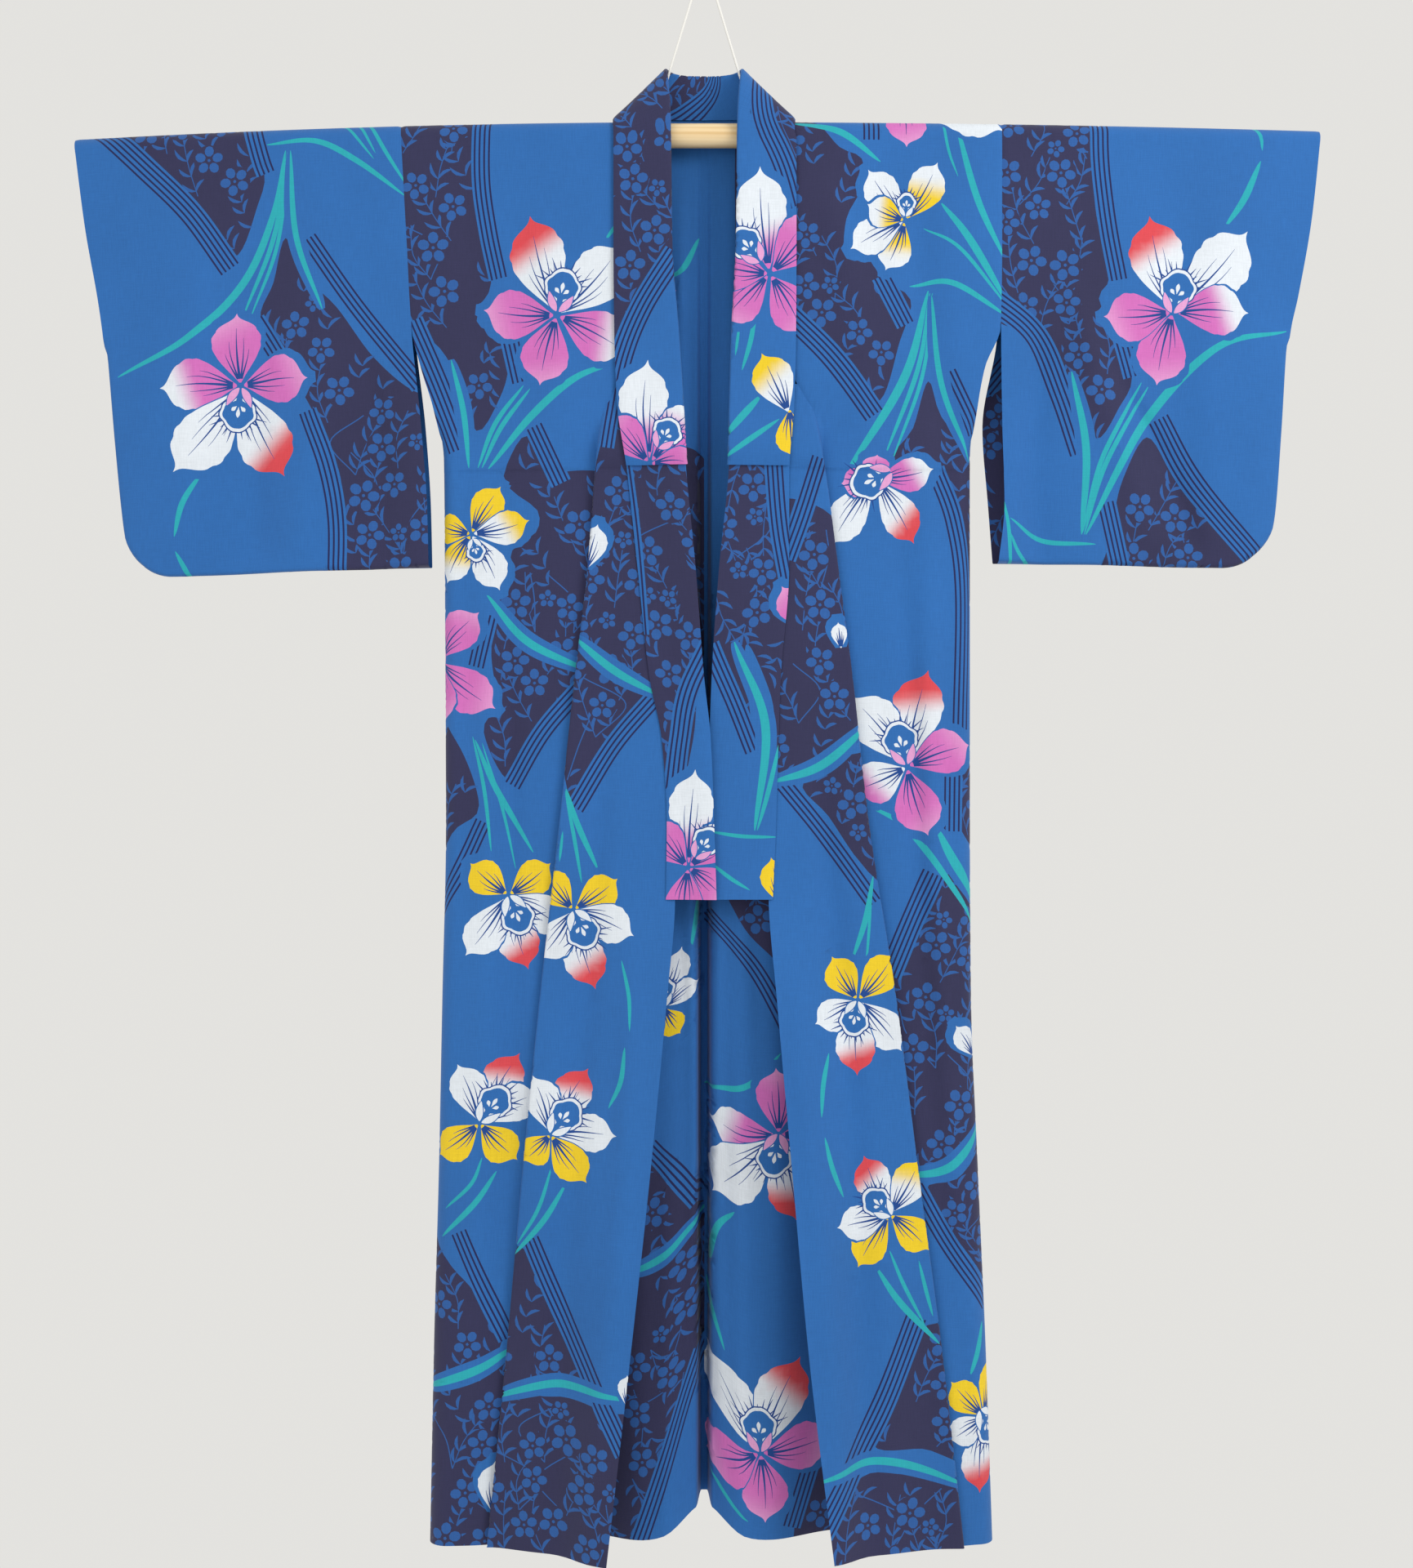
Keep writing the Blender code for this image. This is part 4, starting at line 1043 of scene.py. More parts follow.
        ("petal", "w", (1200, 1296), (1170, 1256)),
        ("orchid", "yywrw", (1206, 1735), (1217, 1752), 14, (1164, 1691), (1225, 1668), (1262, 1760),
         (1200, 1829), (1161, 1762)),
        ("blade", 6, 0, (1206, 1620), (1198, 1655), (1188, 1684)),
    ],
    "cover_left": [
        ("band", (740, 120), (850, 60), (850, 300), (824, 317), (784, 374), (755, 453), (735, 470),
         (735, 167)),
        ("stripes", 5, (829, 312), (787, 378), (762, 439), (748, 512)),
        ("orchid", "uqppp", (796, 567), (818, 530), 12, (794, 442), (856, 498), (862, 580),
         (798, 640), (748, 508)),
    ],
    "cover_right": [
        ("band", (900, 60), (944, 110), (1000, 148), (1000, 270), (966, 189), (930, 131)),
        ("stripes", 5, (896, 62), (930, 142), (959, 203), (978, 268)),
        ("orchid", "upppp", (942, 337), (912, 300), 14, (930, 206), (1000, 262), (984, 410),
         (884, 396), (872, 324)),
        ("blade", 5, 0, (925, 378), (919, 417), (908, 455)),
        ("blade", 3, 0, (905, 399), (900, 437)),
        ("petal", "y", (966, 500), (970, 560)),
        ("petal", "x", (966, 508), (932, 434)),
        ("blade", 8, 0, (931, 485), (909, 510), (885, 538)),
        ("blade", 6, 0, (954, 514), (923, 535), (885, 562)),
    ],
    "nape": [
        ("band", (800, 60), (850, 60), (872, 92), (846, 140), (824, 160), (800, 160)),
        ("stripes", 5, (830, 160), (858, 122), (908, 84)),
    ],
    "collar_left": [
        ("band", (735, 560), (870, 560), (866, 790), (858, 817), (825, 990), (797, 861), (792, 826),
         (760, 674)),
        ("stripes", 3, (764, 570), (776, 665), (785, 777)),
        ("stripes", 4, (870, 790), (836, 879), (819, 1000)),
        ("stripes", 3, (848, 565), (862, 656)),
        ("orchid", "uqppp", (843, 1062), (866, 1030), 12, (852, 942), (892, 1010), (888, 1100),
         (838, 1135), (800, 1005)),
    ],
    "collar_right": [
        ("band", (860, 560), (942, 560), (952, 652), (980, 719), (980, 880), (955, 930), (944, 852),
         (913, 790), (922, 915), (899, 861), (860, 780)),
        ("stripes", 4, (948, 560), (955, 647), (968, 724)),
        ("stripes", 4, (868, 790), (897, 857), (922, 920)),
        ("blade", 9, 1, (899, 786), (937, 888), (924, 1017)),
        ("blade", 5, 0, (956, 905), (941, 968), (927, 1017)),
        ("blade", 4, 0, (868, 1018), (908, 1024), (952, 1025)),
        ("blade", 4, 0, (868, 1055), (895, 1076), (918, 1090)),
        ("petal", "y", (958, 1110), (944, 1050)),
        ("petal", "p", (990, 772), (957, 718)),
    ],
}


def in_world(x, y, depth):
    """The place that a pixel of the photograph shows, at a depth behind the rod."""
    scale = METRES_PER_PIXEL * (CAMERA_DISTANCE + depth) / CAMERA_DISTANCE
    return CAMERA_X + (x - PHOTO_WIDTH / 2) * scale, CAMERA_Z - (y - PHOTO_HEIGHT / 2) * scale


def depth_there(kind, side, half, drop):
    """Depth of the cloth that shows at a place."""
    if kind == "back":
        return back_depth(half, min(max(drop, RIDGE), HEM))
    if kind == "sleeve":
        return -0.012
    drop = min(max(drop, RIDGE), HEM)
    if kind == "body" or drop < OVERLAP_TOP:
        return -front_depth(drop)
    depth = overlap_depth(side, drop, half)
    return depth - ON_PANEL if kind in ("cover", "collar") else depth


def flat_place(panel, x, y):
    """The flat place, in mm, of what a pixel of the photograph shows on a panel."""
    kind, side = panel.split("_")
    half = drop = 0.0
    depth = -0.015
    for _ in range(3):
        world_x, world_z = in_world(x, y, depth)
        half = SIGN[side] * world_x
        drop = SHOULDER_Z - BOW[side] * half * half - world_z
        depth = depth_there(kind, side, half, drop)
    if kind in ("cover", "collar"):
        limited = min(max(drop, 0.0), COLLAR_END)
        across = at("band_" + side, "sewn", limited) - half
        length = nape_length() + drop - RIDGE
        return np.array((across, SIGN[side] * length)) * 1000
    warp = along_warp(drop) if drop > 0 else drop * 1.2
    return np.array((SIGN[side] * half, warp if kind == "back" else -warp)) * 1000


def nape_place(x, y):
    """As flat_place, for the inside of the second band behind the neck."""
    middle = min(collar_stations(), key=lambda station: abs(station[1]))
    width = station_widths(middle[2])[-1]
    fold = math.pi * (COLLAR_CLOTH / 2 + LAID_GAP + COVER_CLOTH / 2)
    down = (y - NAPE_TOP_PIXEL) * METRES_PER_PIXEL
    return np.array((width + fold + down, (x - MIDDLE_PIXEL) * METRES_PER_PIXEL)) * 1000


def curve_through(points, step=5.0, closed=False):
    """Even points on a smooth curve through the given ones."""
    p = [np.array(q, float) for q in points]
    if len(p) == 2:
        share = step / max(np.linalg.norm(p[1] - p[0]), step)
        return np.array([mix(p[0], p[1], t) for t in between(0.0, 1.0, share)])
    count = len(p) if closed else len(p) - 1
    made = []
    for i in range(count):
        p1, p2 = p[i], p[(i + 1) % len(p)]
        p0 = p[i - 1] if closed or i > 0 else 2 * p1 - p2
        p3 = p[(i + 2) % len(p)] if closed or i + 2 < len(p) else 2 * p2 - p1
        steps = max(2, round(np.linalg.norm(p2 - p1) / step))
        for k in range(steps):
            t = k / steps
            bend = (2 * p0 - 5 * p1 + 4 * p2 - p3) * t**2 + (3 * p1 - p0 - 3 * p2 + p3) * t**3
            made.append(0.5 * (2 * p1 + (p2 - p0) * t + bend))
    if not closed:
        made.append(p[-1])
    return np.array(made)


def normals_of(path):
    along = np.gradient(path, axis=0)
    along /= np.maximum(np.linalg.norm(along, axis=1), 1e-9)[:, None]
    return np.stack([-along[:, 1], along[:, 0]], axis=1)


def ribbon(path, widths):
    """The outline of a ribbon of the given widths along a path."""
    sides = normals_of(path) * (np.asarray(widths) / 2)[:, None]
    return np.concatenate([path + sides, (path - sides)[::-1]])


def signed_area(outline):
    x, y = outline[:, 0], outline[:, 1]
    return 0.5 * float(np.sum(x * np.roll(y, -1) - np.roll(x, -1) * y))


class Drawing:
    """Outlines on the flat cloth with their colours, the last drawn on top."""

    def __init__(self):
        self.shapes = []

    def add(self, outline, colour):
        outline = np.asarray(outline, float)
        area = signed_area(outline)
        if abs(area) < 0.05:
            return
        if area < 0:
            outline = outline[::-1]
        self.shapes.append((outline, colour))

    def blade(self, path, width, rim):
        """A blade of grass, pointed at both ends, with a rim of the ground where it has one."""
        path = curve_through(path)
        form = np.sin(np.pi * np.linspace(0, 1, len(path))) ** 0.6 * 0.9 + 0.1
        if rim:
            self.add(ribbon(path, (form * 0.9 + 0.3) * (width + 10)), GROUND)
        self.add(ribbon(path, form * width), TEAL)

    def stripes(self, path, lines, pitch=5.0, width=1.9):
        """Thin dark lines side by side, on a strip of the ground."""
        path = curve_through(path)
        half = (lines - 1) / 2 * pitch
        self.add(ribbon(path, np.full(len(path), 2 * half + 7)), GROUND)
        side = normals_of(path)
        for k in range(lines):
            moved = path + side * (k * pitch - half)
            self.add(ribbon(moved, np.full(len(path), width)), LINE)

    def petal(self, middle, tip, code, halo=0.0, bend=0.0, flower=None):
        """One pointed petal, with a wavy edge and veins. Its breadth goes mostly by its flower's size."""
        middle, tip = np.array(middle), np.array(tip)
        axis = tip - middle
        length = float(np.linalg.norm(axis))
        axis /= length
        side = np.array((-axis[1], axis[0]))
        spread = 0.3 * length + 0.7 * flower if flower else length
        rows = curve_through([(v * length, w * spread) for v, w in PETAL_FORM], step=3.5)
        v = rows[:, 0] / length
        wave = 0.022 * length * np.abs(np.sin(v * 21)) * np.clip((v - 0.4) * 4, 0, 1) * (v < 0.9)
        width = rows[:, 1] + wave + halo
        reach = rows[:, 0] + halo * 1.6 * np.clip(v, 0, 1)
        lean = bend * length * np.sin(np.pi * v)
        one = middle + reach[:, None] * axis + (width + lean)[:, None] * side
        other = middle + reach[:, None] * axis - (width - lean)[:, None] * side
        outline = np.concatenate([one, other[::-1]])
        if halo:
            self.add(outline, GROUND)
            return
        base, end, low, high = PETALS[code]

        def colour(points):
            along = ((points - middle) @ axis) / length
            aside = ((points - middle) @ side) / length
            t = ramps(low, high, along + 0.35 * aside)[:, None]
            return np.array(base) * (1 - t) + np.array(end) * t

        self.add(outline, colour)
        for share, reach in ((0.0, 0.80), (0.42, 0.62), (-0.42, 0.66), (0.74, 0.46), (-0.74, 0.50)):
            v = np.linspace(0.10, reach, 9)
            form = np.interp(v, [p[0] for p in PETAL_FORM], [p[1] for p in PETAL_FORM])
            aside = share * form * 0.75 * spread + bend * np.sin(np.pi * v) * length
            path = middle + (v * length)[:, None] * axis + aside[:, None] * side
            self.add(ribbon(path, np.linspace(2.1 if share else 3.2, 0.3, 9)), VEIN)

    def lip(self, middle, centre, radius, shade):
        """The lip: veins that leave it, a white wavy ring open towards the flower's middle, two
        small side lobes in the given shade, and a bud of three lobes inside the ring."""
        middle, centre = np.array(middle), np.array(centre)
        way = centre - middle
        if np.linalg.norm(way) < 1e-3:
            way = np.array((0.0, -1.0))
        way = way / np.linalg.norm(way)
        side = np.array((-way[1], way[0]))
        angles = np.linspace(0, 2 * math.pi, 44, endpoint=False)

        def ring(size, wavy=1.0):
            point = 0.30 * np.maximum(np.cos(angles), 0) ** 10
            r = size * (0.94 + wavy * (0.09 * np.abs(np.sin(3.5 * angles)) + point))
            forward = (r * np.cos(angles) * 0.92)[:, None] * way
            return centre + forward + (r * 1.12 * np.sin(angles))[:, None] * side

        for k in range(-5, 6):
            a = k * 0.27
            out = math.cos(a) * way + math.sin(a) * side
            reach = 1.55 + 0.30 * ((k * 7) % 3)
            path = curve_through([centre + out * radius, centre + out * radius * reach], 4.0)
            self.add(ribbon(path, np.linspace(2.4, 0.3, len(path))), VEIN)
        self.add(ring(radius * 1.12 + 1.2), VEIN)
        self.add(ring(radius * 1.12), WHITE)
        self.add(ring(radius * 1.12 - 2.2, 0.8), GROUND)
        gap = curve_through([centre - way * radius * 1.7, centre - way * radius * 0.5], 2.0)
        self.add(ribbon(gap, np.linspace(1.0, radius * 0.62, len(gap))), GROUND)
        for turn in (-1, 1):
            neck = centre - way * radius * 1.75 + side * turn * radius * 0.10
            shoulder = centre - way * radius * 0.50 + side * turn * radius * 0.84
            swell = (neck + shoulder) / 2 + side * turn * radius * 0.08
            path = curve_through([neck, swell, shoulder], 1.5)
            form = 0.8 + radius * 0.46 * np.sin(np.pi * np.linspace(0, 1, len(path)) ** 0.85)
            self.add(ribbon(path, form + 2.0), GROUND)
            self.add(ribbon(path, form), shade)
        start = centre - way * radius * 0.62
        for turn, reach in ((0.0, 0.92), (0.80, 0.66), (-0.80, 0.66)):
            out = math.cos(turn) * way + math.sin(turn) * side
            path = curve_through([start + out * radius * 0.20, start + out * radius * reach], 1.2)
            form = 0.5 + radius * 0.25 * np.sin(np.pi * np.linspace(0, 1, len(path)) ** 1.5)
            self.add(ribbon(path, form), WHITE)

    def orchid(self, middle, centre, radius, codes, tips):
        """Five petals on one rim of the ground, parted by thin gaps, and the lip over them."""
        bends = (0.03, -0.04, 0.03, -0.03, 0.04)
        size = float(np.mean([np.linalg.norm(np.array(tip) - middle) for tip in tips]))
        for tip, bend in zip(tips, bends):
            self.petal(middle, tip, "w", halo=RIM, bend=bend, flower=size)
        for tip, code, bend in zip(tips, codes, bends):
            self.petal(middle, tip, code, halo=PETAL_GAP, bend=bend, flower=size)
            self.petal(middle, tip, code, bend=bend, flower=size)
        if radius:
            pinks = sum(codes.count(c) for c in "pqu")
            self.lip(middle, centre, radius, PALE_PINK if pinks > 1 else WHITE)

    def blossom(self, centre, radius, turn):
        """Five separate petals round a dot, on a dark disc that parts them from stems below."""
        angles = np.linspace(0, 2 * math.pi, 16, endpoint=False)
        disc = np.stack([np.cos(angles), np.sin(angles)], 1)
        self.add(centre + radius * 1.07 * disc, NAVY)
        angles = np.linspace(0, 2 * math.pi, 9, endpoint=False)
        for k in range(5):
            a = turn + k * 2 * math.pi / 5
            out = np.array((math.cos(a), math.sin(a)))
            side = np.array((-out[1], out[0]))
            petal = centre + (radius * (0.63 + np.cos(angles) * 0.37))[:, None] * out
            self.add(petal + (np.sin(angles) * 0.325 * radius)[:, None] * side, SPRIG)
        self.add(centre + radius * 0.11 * disc[::3], SPRIG)

    def leaf(self, base, angle, length, width):
        """A small curved leaf of a sprig."""
        out = np.array((math.cos(angle), math.sin(angle)))
        side = np.array((-out[1], out[0]))
        t = np.linspace(0, 1, 5)
        path = base + (t * length)[:, None] * out + (0.14 * length * np.sin(np.pi * t))[:, None] * side
        self.add(ribbon(path, width * np.array((0.12, 0.75, 1.0, 0.8, 0.08))), SPRIG)

    def sprig(self, foot, angle, chance):
        """A stem with leaves in pairs. Returns the places where it can carry a blossom."""
        out = np.array((math.cos(angle), math.sin(angle)))
        side = np.array((-out[1], out[0]))
        length = 56 + 14 * chance.random()
        bow = chance.uniform(-10, 10)
        stem = curve_through([foot, foot + out * length * 0.5 + side * bow, foot + out * length], 6.0)
        self.add(ribbon(stem, np.full(len(stem), 1.0)), SPRIG)
        for share in (0.12, 0.36, 0.62, 0.86):
            base = stem[int(share * (len(stem) - 1))]
            for turn in (0.7, -0.7):
                self.leaf(base, angle + turn * chance.uniform(0.8, 1.25), chance.uniform(13, 19), 3.6)
        spread = 1.0 if bow < 0 else -1.0
        return [stem[-1] + out * 11, stem[len(stem) // 2] + side * spread * 22]

    def fill(self, outline, seed):
        """Sprigs and thin arcs over a dark field, in crossed rows, with no two blossoms touching."""
        chance = random.Random(seed)
        low, high = outline.min(0), outline.max(0)
        flowers = []
        made = Drawing()
        row = 0
        y = low[1] - 30
        while y < high[1]:
            x = low[0] + (SPRIG_PITCH / 2 if row % 2 else 4) - 6
            while x < high[0]:
                foot = np.array((x + chance.uniform(-5, 5), y + chance.uniform(-5, 5)))
                angle = math.pi / 2 + chance.uniform(-0.6, 0.6)
                flowers += made.sprig(foot, angle, chance)
                if chance.random() < 0.3:
                    end = foot + np.array((chance.uniform(-45, 45), 62))
                    bow = foot + np.array((chance.uniform(-36, 36), 34))
                    path = curve_through([foot, bow, end], 6.0)
                    made.add(ribbon(path, np.full(len(path), 1.2)), SPRIG)
                x += SPRIG_PITCH
            y += SPRIG_PITCH * 0.92
            row += 1
        for shape, colour in made.shapes:
            small = float(np.max(shape.max(0) - shape.min(0))) < 26
            points, distance = ([shape.mean(0)], 4.0) if small else (shape[::2], 1.0)
            if well_inside(outline, points, distance):
                self.shapes.append((shape, colour))
        taken = []
        for centre in flowers:
            radius = chance.uniform(14.0, 17.0)
            turn = chance.uniform(0, 1.2)
            if any(np.linalg.norm(centre - c) < radius + r for c, r in taken):
                radius = 9.5
                if any(np.linalg.norm(centre - c) < radius + r for c, r in taken):
                    continue
            if well_inside(outline, [centre], radius * 1.1):
                taken.append((centre, radius))
                self.blossom(centre, radius, turn)


def holds(outline, points):
    """Which of the points lie inside an outline."""
    x, y = points[:, 0], points[:, 1]
    inner = np.zeros(len(points), bool)
    for (x0, y0), (x1, y1) in zip(outline, np.roll(outline, -1, axis=0)):
        if y0 != y1:
            crosses = (y0 > y) != (y1 > y)
            inner ^= crosses & (x < x0 + (y - y0) * (x1 - x0) / (y1 - y0))
    return inner


def clear_of_edge(outline, point, distance):
    along = np.roll(outline, -1, axis=0) - outline
    t = np.clip(((point - outline) * along).sum(1) / np.maximum((along**2).sum(1), 1e-9), 0, 1)
    gap = point - (outline + along * t[:, None])
    return float(np.min((gap**2).sum(1))) > distance**2


def well_inside(outline, points, distance):
    """Whether all the points are inside an outline and further than a distance from its edge."""
    points = np.array(points)
    return bool(holds(outline, points).all()) and all(clear_of_edge(outline, p, distance) for p in points)


# What is drawn first lies under the rest
ORDER = ("band", "stripes", "blade", "petal", "orchid")


def draw(rows, place, seed):
    """Draws rows of the print table. place turns a pixel of the photograph into a flat place."""
    drawing = Drawing()
    for kind in ORDER:
        for k, row in enumerate(rows):
            if row[0] != kind:
                continue
            if kind == "band":
                outline = curve_through([place(*p) for p in row[1:]], step=9.0, closed=True)
                drawing.add(outline, NAVY)
                drawing.fill(drawing.shapes[-1][0], seed * 100 + k)
            elif kind == "stripes":
                drawing.stripes([place(*p) for p in row[2:]], row[1])
            elif kind == "blade":
                drawing.blade([place(*p) for p in row[3:]], row[1], row[2])
            elif kind == "petal":
                middle, tip = place(*row[2]), place(*row[3])
                drawing.petal(middle, tip, "w", halo=RIM)
                drawing.petal(middle, tip, row[1])
            else:
                places = [place(*p) for p in (row[2], row[3]) + row[5:]]
                drawing.orchid(places[0], places[1], row[4], row[1], places[2:])
    return drawing.shapes


def mirrored(rows, keep):
    """The same rows on the other side of the robe's middle, where keep allows them."""
    made = []
    for row in rows:
        points = [p for p in row if isinstance(p, tuple)]
        facts = [p for p in row if not isinstance(p, tuple)]
        turned = [(2 * MIDDLE_PIXEL - x, y) for x, y in points]
        if keep(sum(x for x, _ in turned) / len(turned)):
            if row[0] == "orchid":
                turned[2:2] = [facts.pop()]
            made.append(tuple(facts + turned))
    return made


# From sheet and print to mesh

# Points of the flat cloth nearer than this, in mm, are one
WELD_FLAT = 0.02


def cut(sheet, shapes):
    """The sheet cut along the print's outlines.

    Gives places, flat places, distances to a seam, triangles, each one's colour number, and the colours.
    """
    flat = np.array(sheet.flat)
    low, high = flat.min(0), flat.max(0)
    edge = sheet.edge()
    verts = [Vector(p) for p in flat]
    edges = list(zip(edge, edge[1:] + edge[:1]))
    near = []
    for shape, colour in shapes:
        if (shape.max(0) < low).any() or (shape.min(0) > high).any():
            continue
        near.append((shape, colour))
        start, count = len(verts), len(shape)
        verts += [Vector(p) for p in shape]
        edges += [(start + i, start + (i + 1) % count) for i in range(count)]
    made = geometry.delaunay_2d_cdt(verts, edges, [], 0, WELD_FLAT)
    flats = np.array([(v[0], v[1]) for v in made[0]])
    corners = np.array(made[2])
    corners = corners[holds(flat[edge], flats[corners].mean(1))]
    middles = flats[corners].mean(1)
    shades = np.zeros(len(corners), int)
    for k, (shape, _) in enumerate(near):
        within = (middles >= shape.min(0)).all(1) & (middles <= shape.max(0)).all(1)
        chosen = np.flatnonzero(within)
        if len(chosen):
            shades[chosen[holds(shape, middles[chosen])]] = k + 1
    triangles = []
    for face in sheet.faces:
        for turn in ((0, 1, 2), (0, 2, 3)):
            triangles.append([face[c] for c in turn])
    tree = bvhtree.BVHTree.FromPolygons([(x, y, 0) for x, y in flat], triangles)
    places = np.array(sheet.places)
    seam = np.array(sheet.seam)
    new_places = np.zeros((len(flats), 3))
    new_seam = np.zeros(len(flats))
    for i, (vert, origins) in enumerate(zip(flats, made[3])):
        own = [o for o in origins if o < len(flat)]
        if own:
            new_places[i] = places[own[0]]
            new_seam[i] = seam[own[0]]
            continue
        _, _, index, _ = tree.find_nearest(Vector((vert[0], vert[1], 0)))
        a, b, c = triangles[index]
        weights = corner_weights(vert, flat[a], flat[b], flat[c])
        new_places[i] = weights @ places[[a, b, c]]
        new_seam[i] = weights @ seam[[a, b, c]]
    return new_places, flats, new_seam, corners.tolist(), shades, [GROUND] + [c for _, c in near]


def corner_weights(point, a, b, c):
    """How much each corner of a flat triangle counts at a point in it."""
    v0, v1, v2 = b - a, c - a, np.array((point[0], point[1])) - a
    area = v0[0] * v1[1] - v1[0] * v0[1]
    if abs(area) < 1e-12:
        return np.array((1.0, 0.0, 0.0))
    wb = (v2[0] * v1[1] - v1[0] * v2[1]) / area
    wc = (v0[0] * v2[1] - v2[0] * v0[1]) / area
    weights = np.clip(np.array((1 - wb - wc, wb, wc)), 0, 1)
    return weights / weights.sum()


# Soft creases: start and end (half width, drop), reach to each side and how far the cloth moves
# forward there, all in metres. A trough has a negative height.
CREASES = {
    "front_left": [
        (0.230, 0.42, 0.236, 1.30, 0.018, 0.0035),
        (0.196, 0.46, 0.214, 1.44, 0.013, -0.0030),
        (0.165, 0.07, 0.150, 0.31, 0.022, 0.0025),
        (0.245, 0.10, 0.240, 0.33, 0.020, -0.0025),
        (0.110, 0.62, 0.150, 1.46, 0.016, -0.0045),
        (0.075, 0.86, 0.112, 1.48, 0.014, 0.0040),
    ],
    "front_right": [
        (0.235, 0.40, 0.262, 1.46, 0.017, 0.0040),
        (0.200, 0.46, 0.284, 1.47, 0.013, -0.0035),
        (0.130, 0.05, 0.170, 0.32, 0.022, 0.0030),
        (0.225, 0.09, 0.250, 0.34, 0.020, -0.0030),
        (0.125, 0.66, 0.170, 1.47, 0.017, -0.0050),
        (0.100, 0.88, 0.140, 1.48, 0.014, 0.0040),
    ],
    "back_left": [
        (0.220, 0.30, 0.228, 1.46, 0.020, 0.0040),
        (0.180, 0.40, 0.170, 1.40, 0.015, -0.0035),
        (0.140, 0.08, 0.150, 0.70, 0.022, 0.0030),
        (0.250, 0.50, 0.255, 1.20, 0.014, -0.0030),
        (0.019, 0.06, 0.016, 1.30, 0.007, -0.0045),
        (0.052, 0.08, 0.046, 1.40, 0.015, 0.0035),
    ],
    "back_right": [
        (0.023, 0.06, 0.018, 1.32, 0.007, -0.0045),
        (0.062, 0.08, 0.052, 1.42, 0.016, 0.0035),
        (0.230, 0.34, 0.240, 1.44, 0.020, 0.0040),
        (0.190, 0.44, 0.200, 1.47, 0.015, -0.0035),
        (0.150, 0.10, 0.130, 0.66, 0.022, 0.0030),
        (0.262, 0.52, 0.266, 1.30, 0.014, -0.0030),
    ],
    "sleeve_left": [
        (0.400, 0.20, 0.420, 0.45, 0.018, 0.0025),
        (0.450, 0.16, 0.475, 0.46, 0.013, -0.0022),
        (0.530, 0.10, 0.545, 0.44, 0.020, 0.0022),
        (0.345, 0.24, 0.335, 0.45, 0.012, -0.0022),
    ],
    "sleeve_right": [
        (0.390, 0.18, 0.470, 0.45, 0.018, 0.0028),
        (0.440, 0.26, 0.520, 0.45, 0.011, -0.0025),
        (0.540, 0.08, 0.520, 0.40, 0.020, 0.0020),
        (0.345, 0.22, 0.350, 0.45, 0.014, -0.0022),
    ],
}

CREASE_SCALE = 1.5
SLEEVE_CREASES_START = 0.315


def creased(name, half, drop):
    """How far the cloth moves forward at each place."""
    moved = np.zeros(len(half))
    for x0, d0, x1, d1, reach, rise in CREASES[name]:
        t = (drop - d0) / (d1 - d0)
        middle = x0 + (x1 - x0) * t + 0.006 * np.sin(t * 5.0 + x0 * 40)
        width = reach * (0.75 + 0.45 * np.clip(t, 0, 1))
        fade = ramps(-0.12, 0.25, t) * (1 - ramps(0.85, 1.25, t))
        moved += CREASE_SCALE * rise * fade * np.exp(-(((half - middle) / width) ** 2))
    return moved


def crease_pieces(places, name, facing):
    """Moves the cloth forward or back along its creases, less near the shoulder and the sides."""
    side = name.split("_")[1]
    half = SIGN[side] * places[:, 0]
    drop = SHOULDER_Z - BOW[side] * half**2 - places[:, 2]
    moved = creased(name, half, drop) * ramps(0.03, 0.10, drop)
    if name.startswith("sleeve"):
        out = np.interp(drop, [r[0] for r in TABLES[name][1:]], [r[3] for r in TABLES[name][1:]])
        low = TABLES[name][-1][0]
        for to_edge in (half - SLEEVE_CREASES_START, out - half, low - drop):
            moved *= ramps(0.0, 0.03, to_edge)
    else:
        rows = TABLES["body_" + side][1:]
        edge = np.interp(drop, [r[0] for r in rows], [r[1] for r in rows])
        moved *= ramps(0.002, 0.03, edge - half)
    places[:, 1] += facing * moved


SEAM_DEPTH = 0.0009
SEAM_WIDTH = 0.0022
WELD = 0.00004


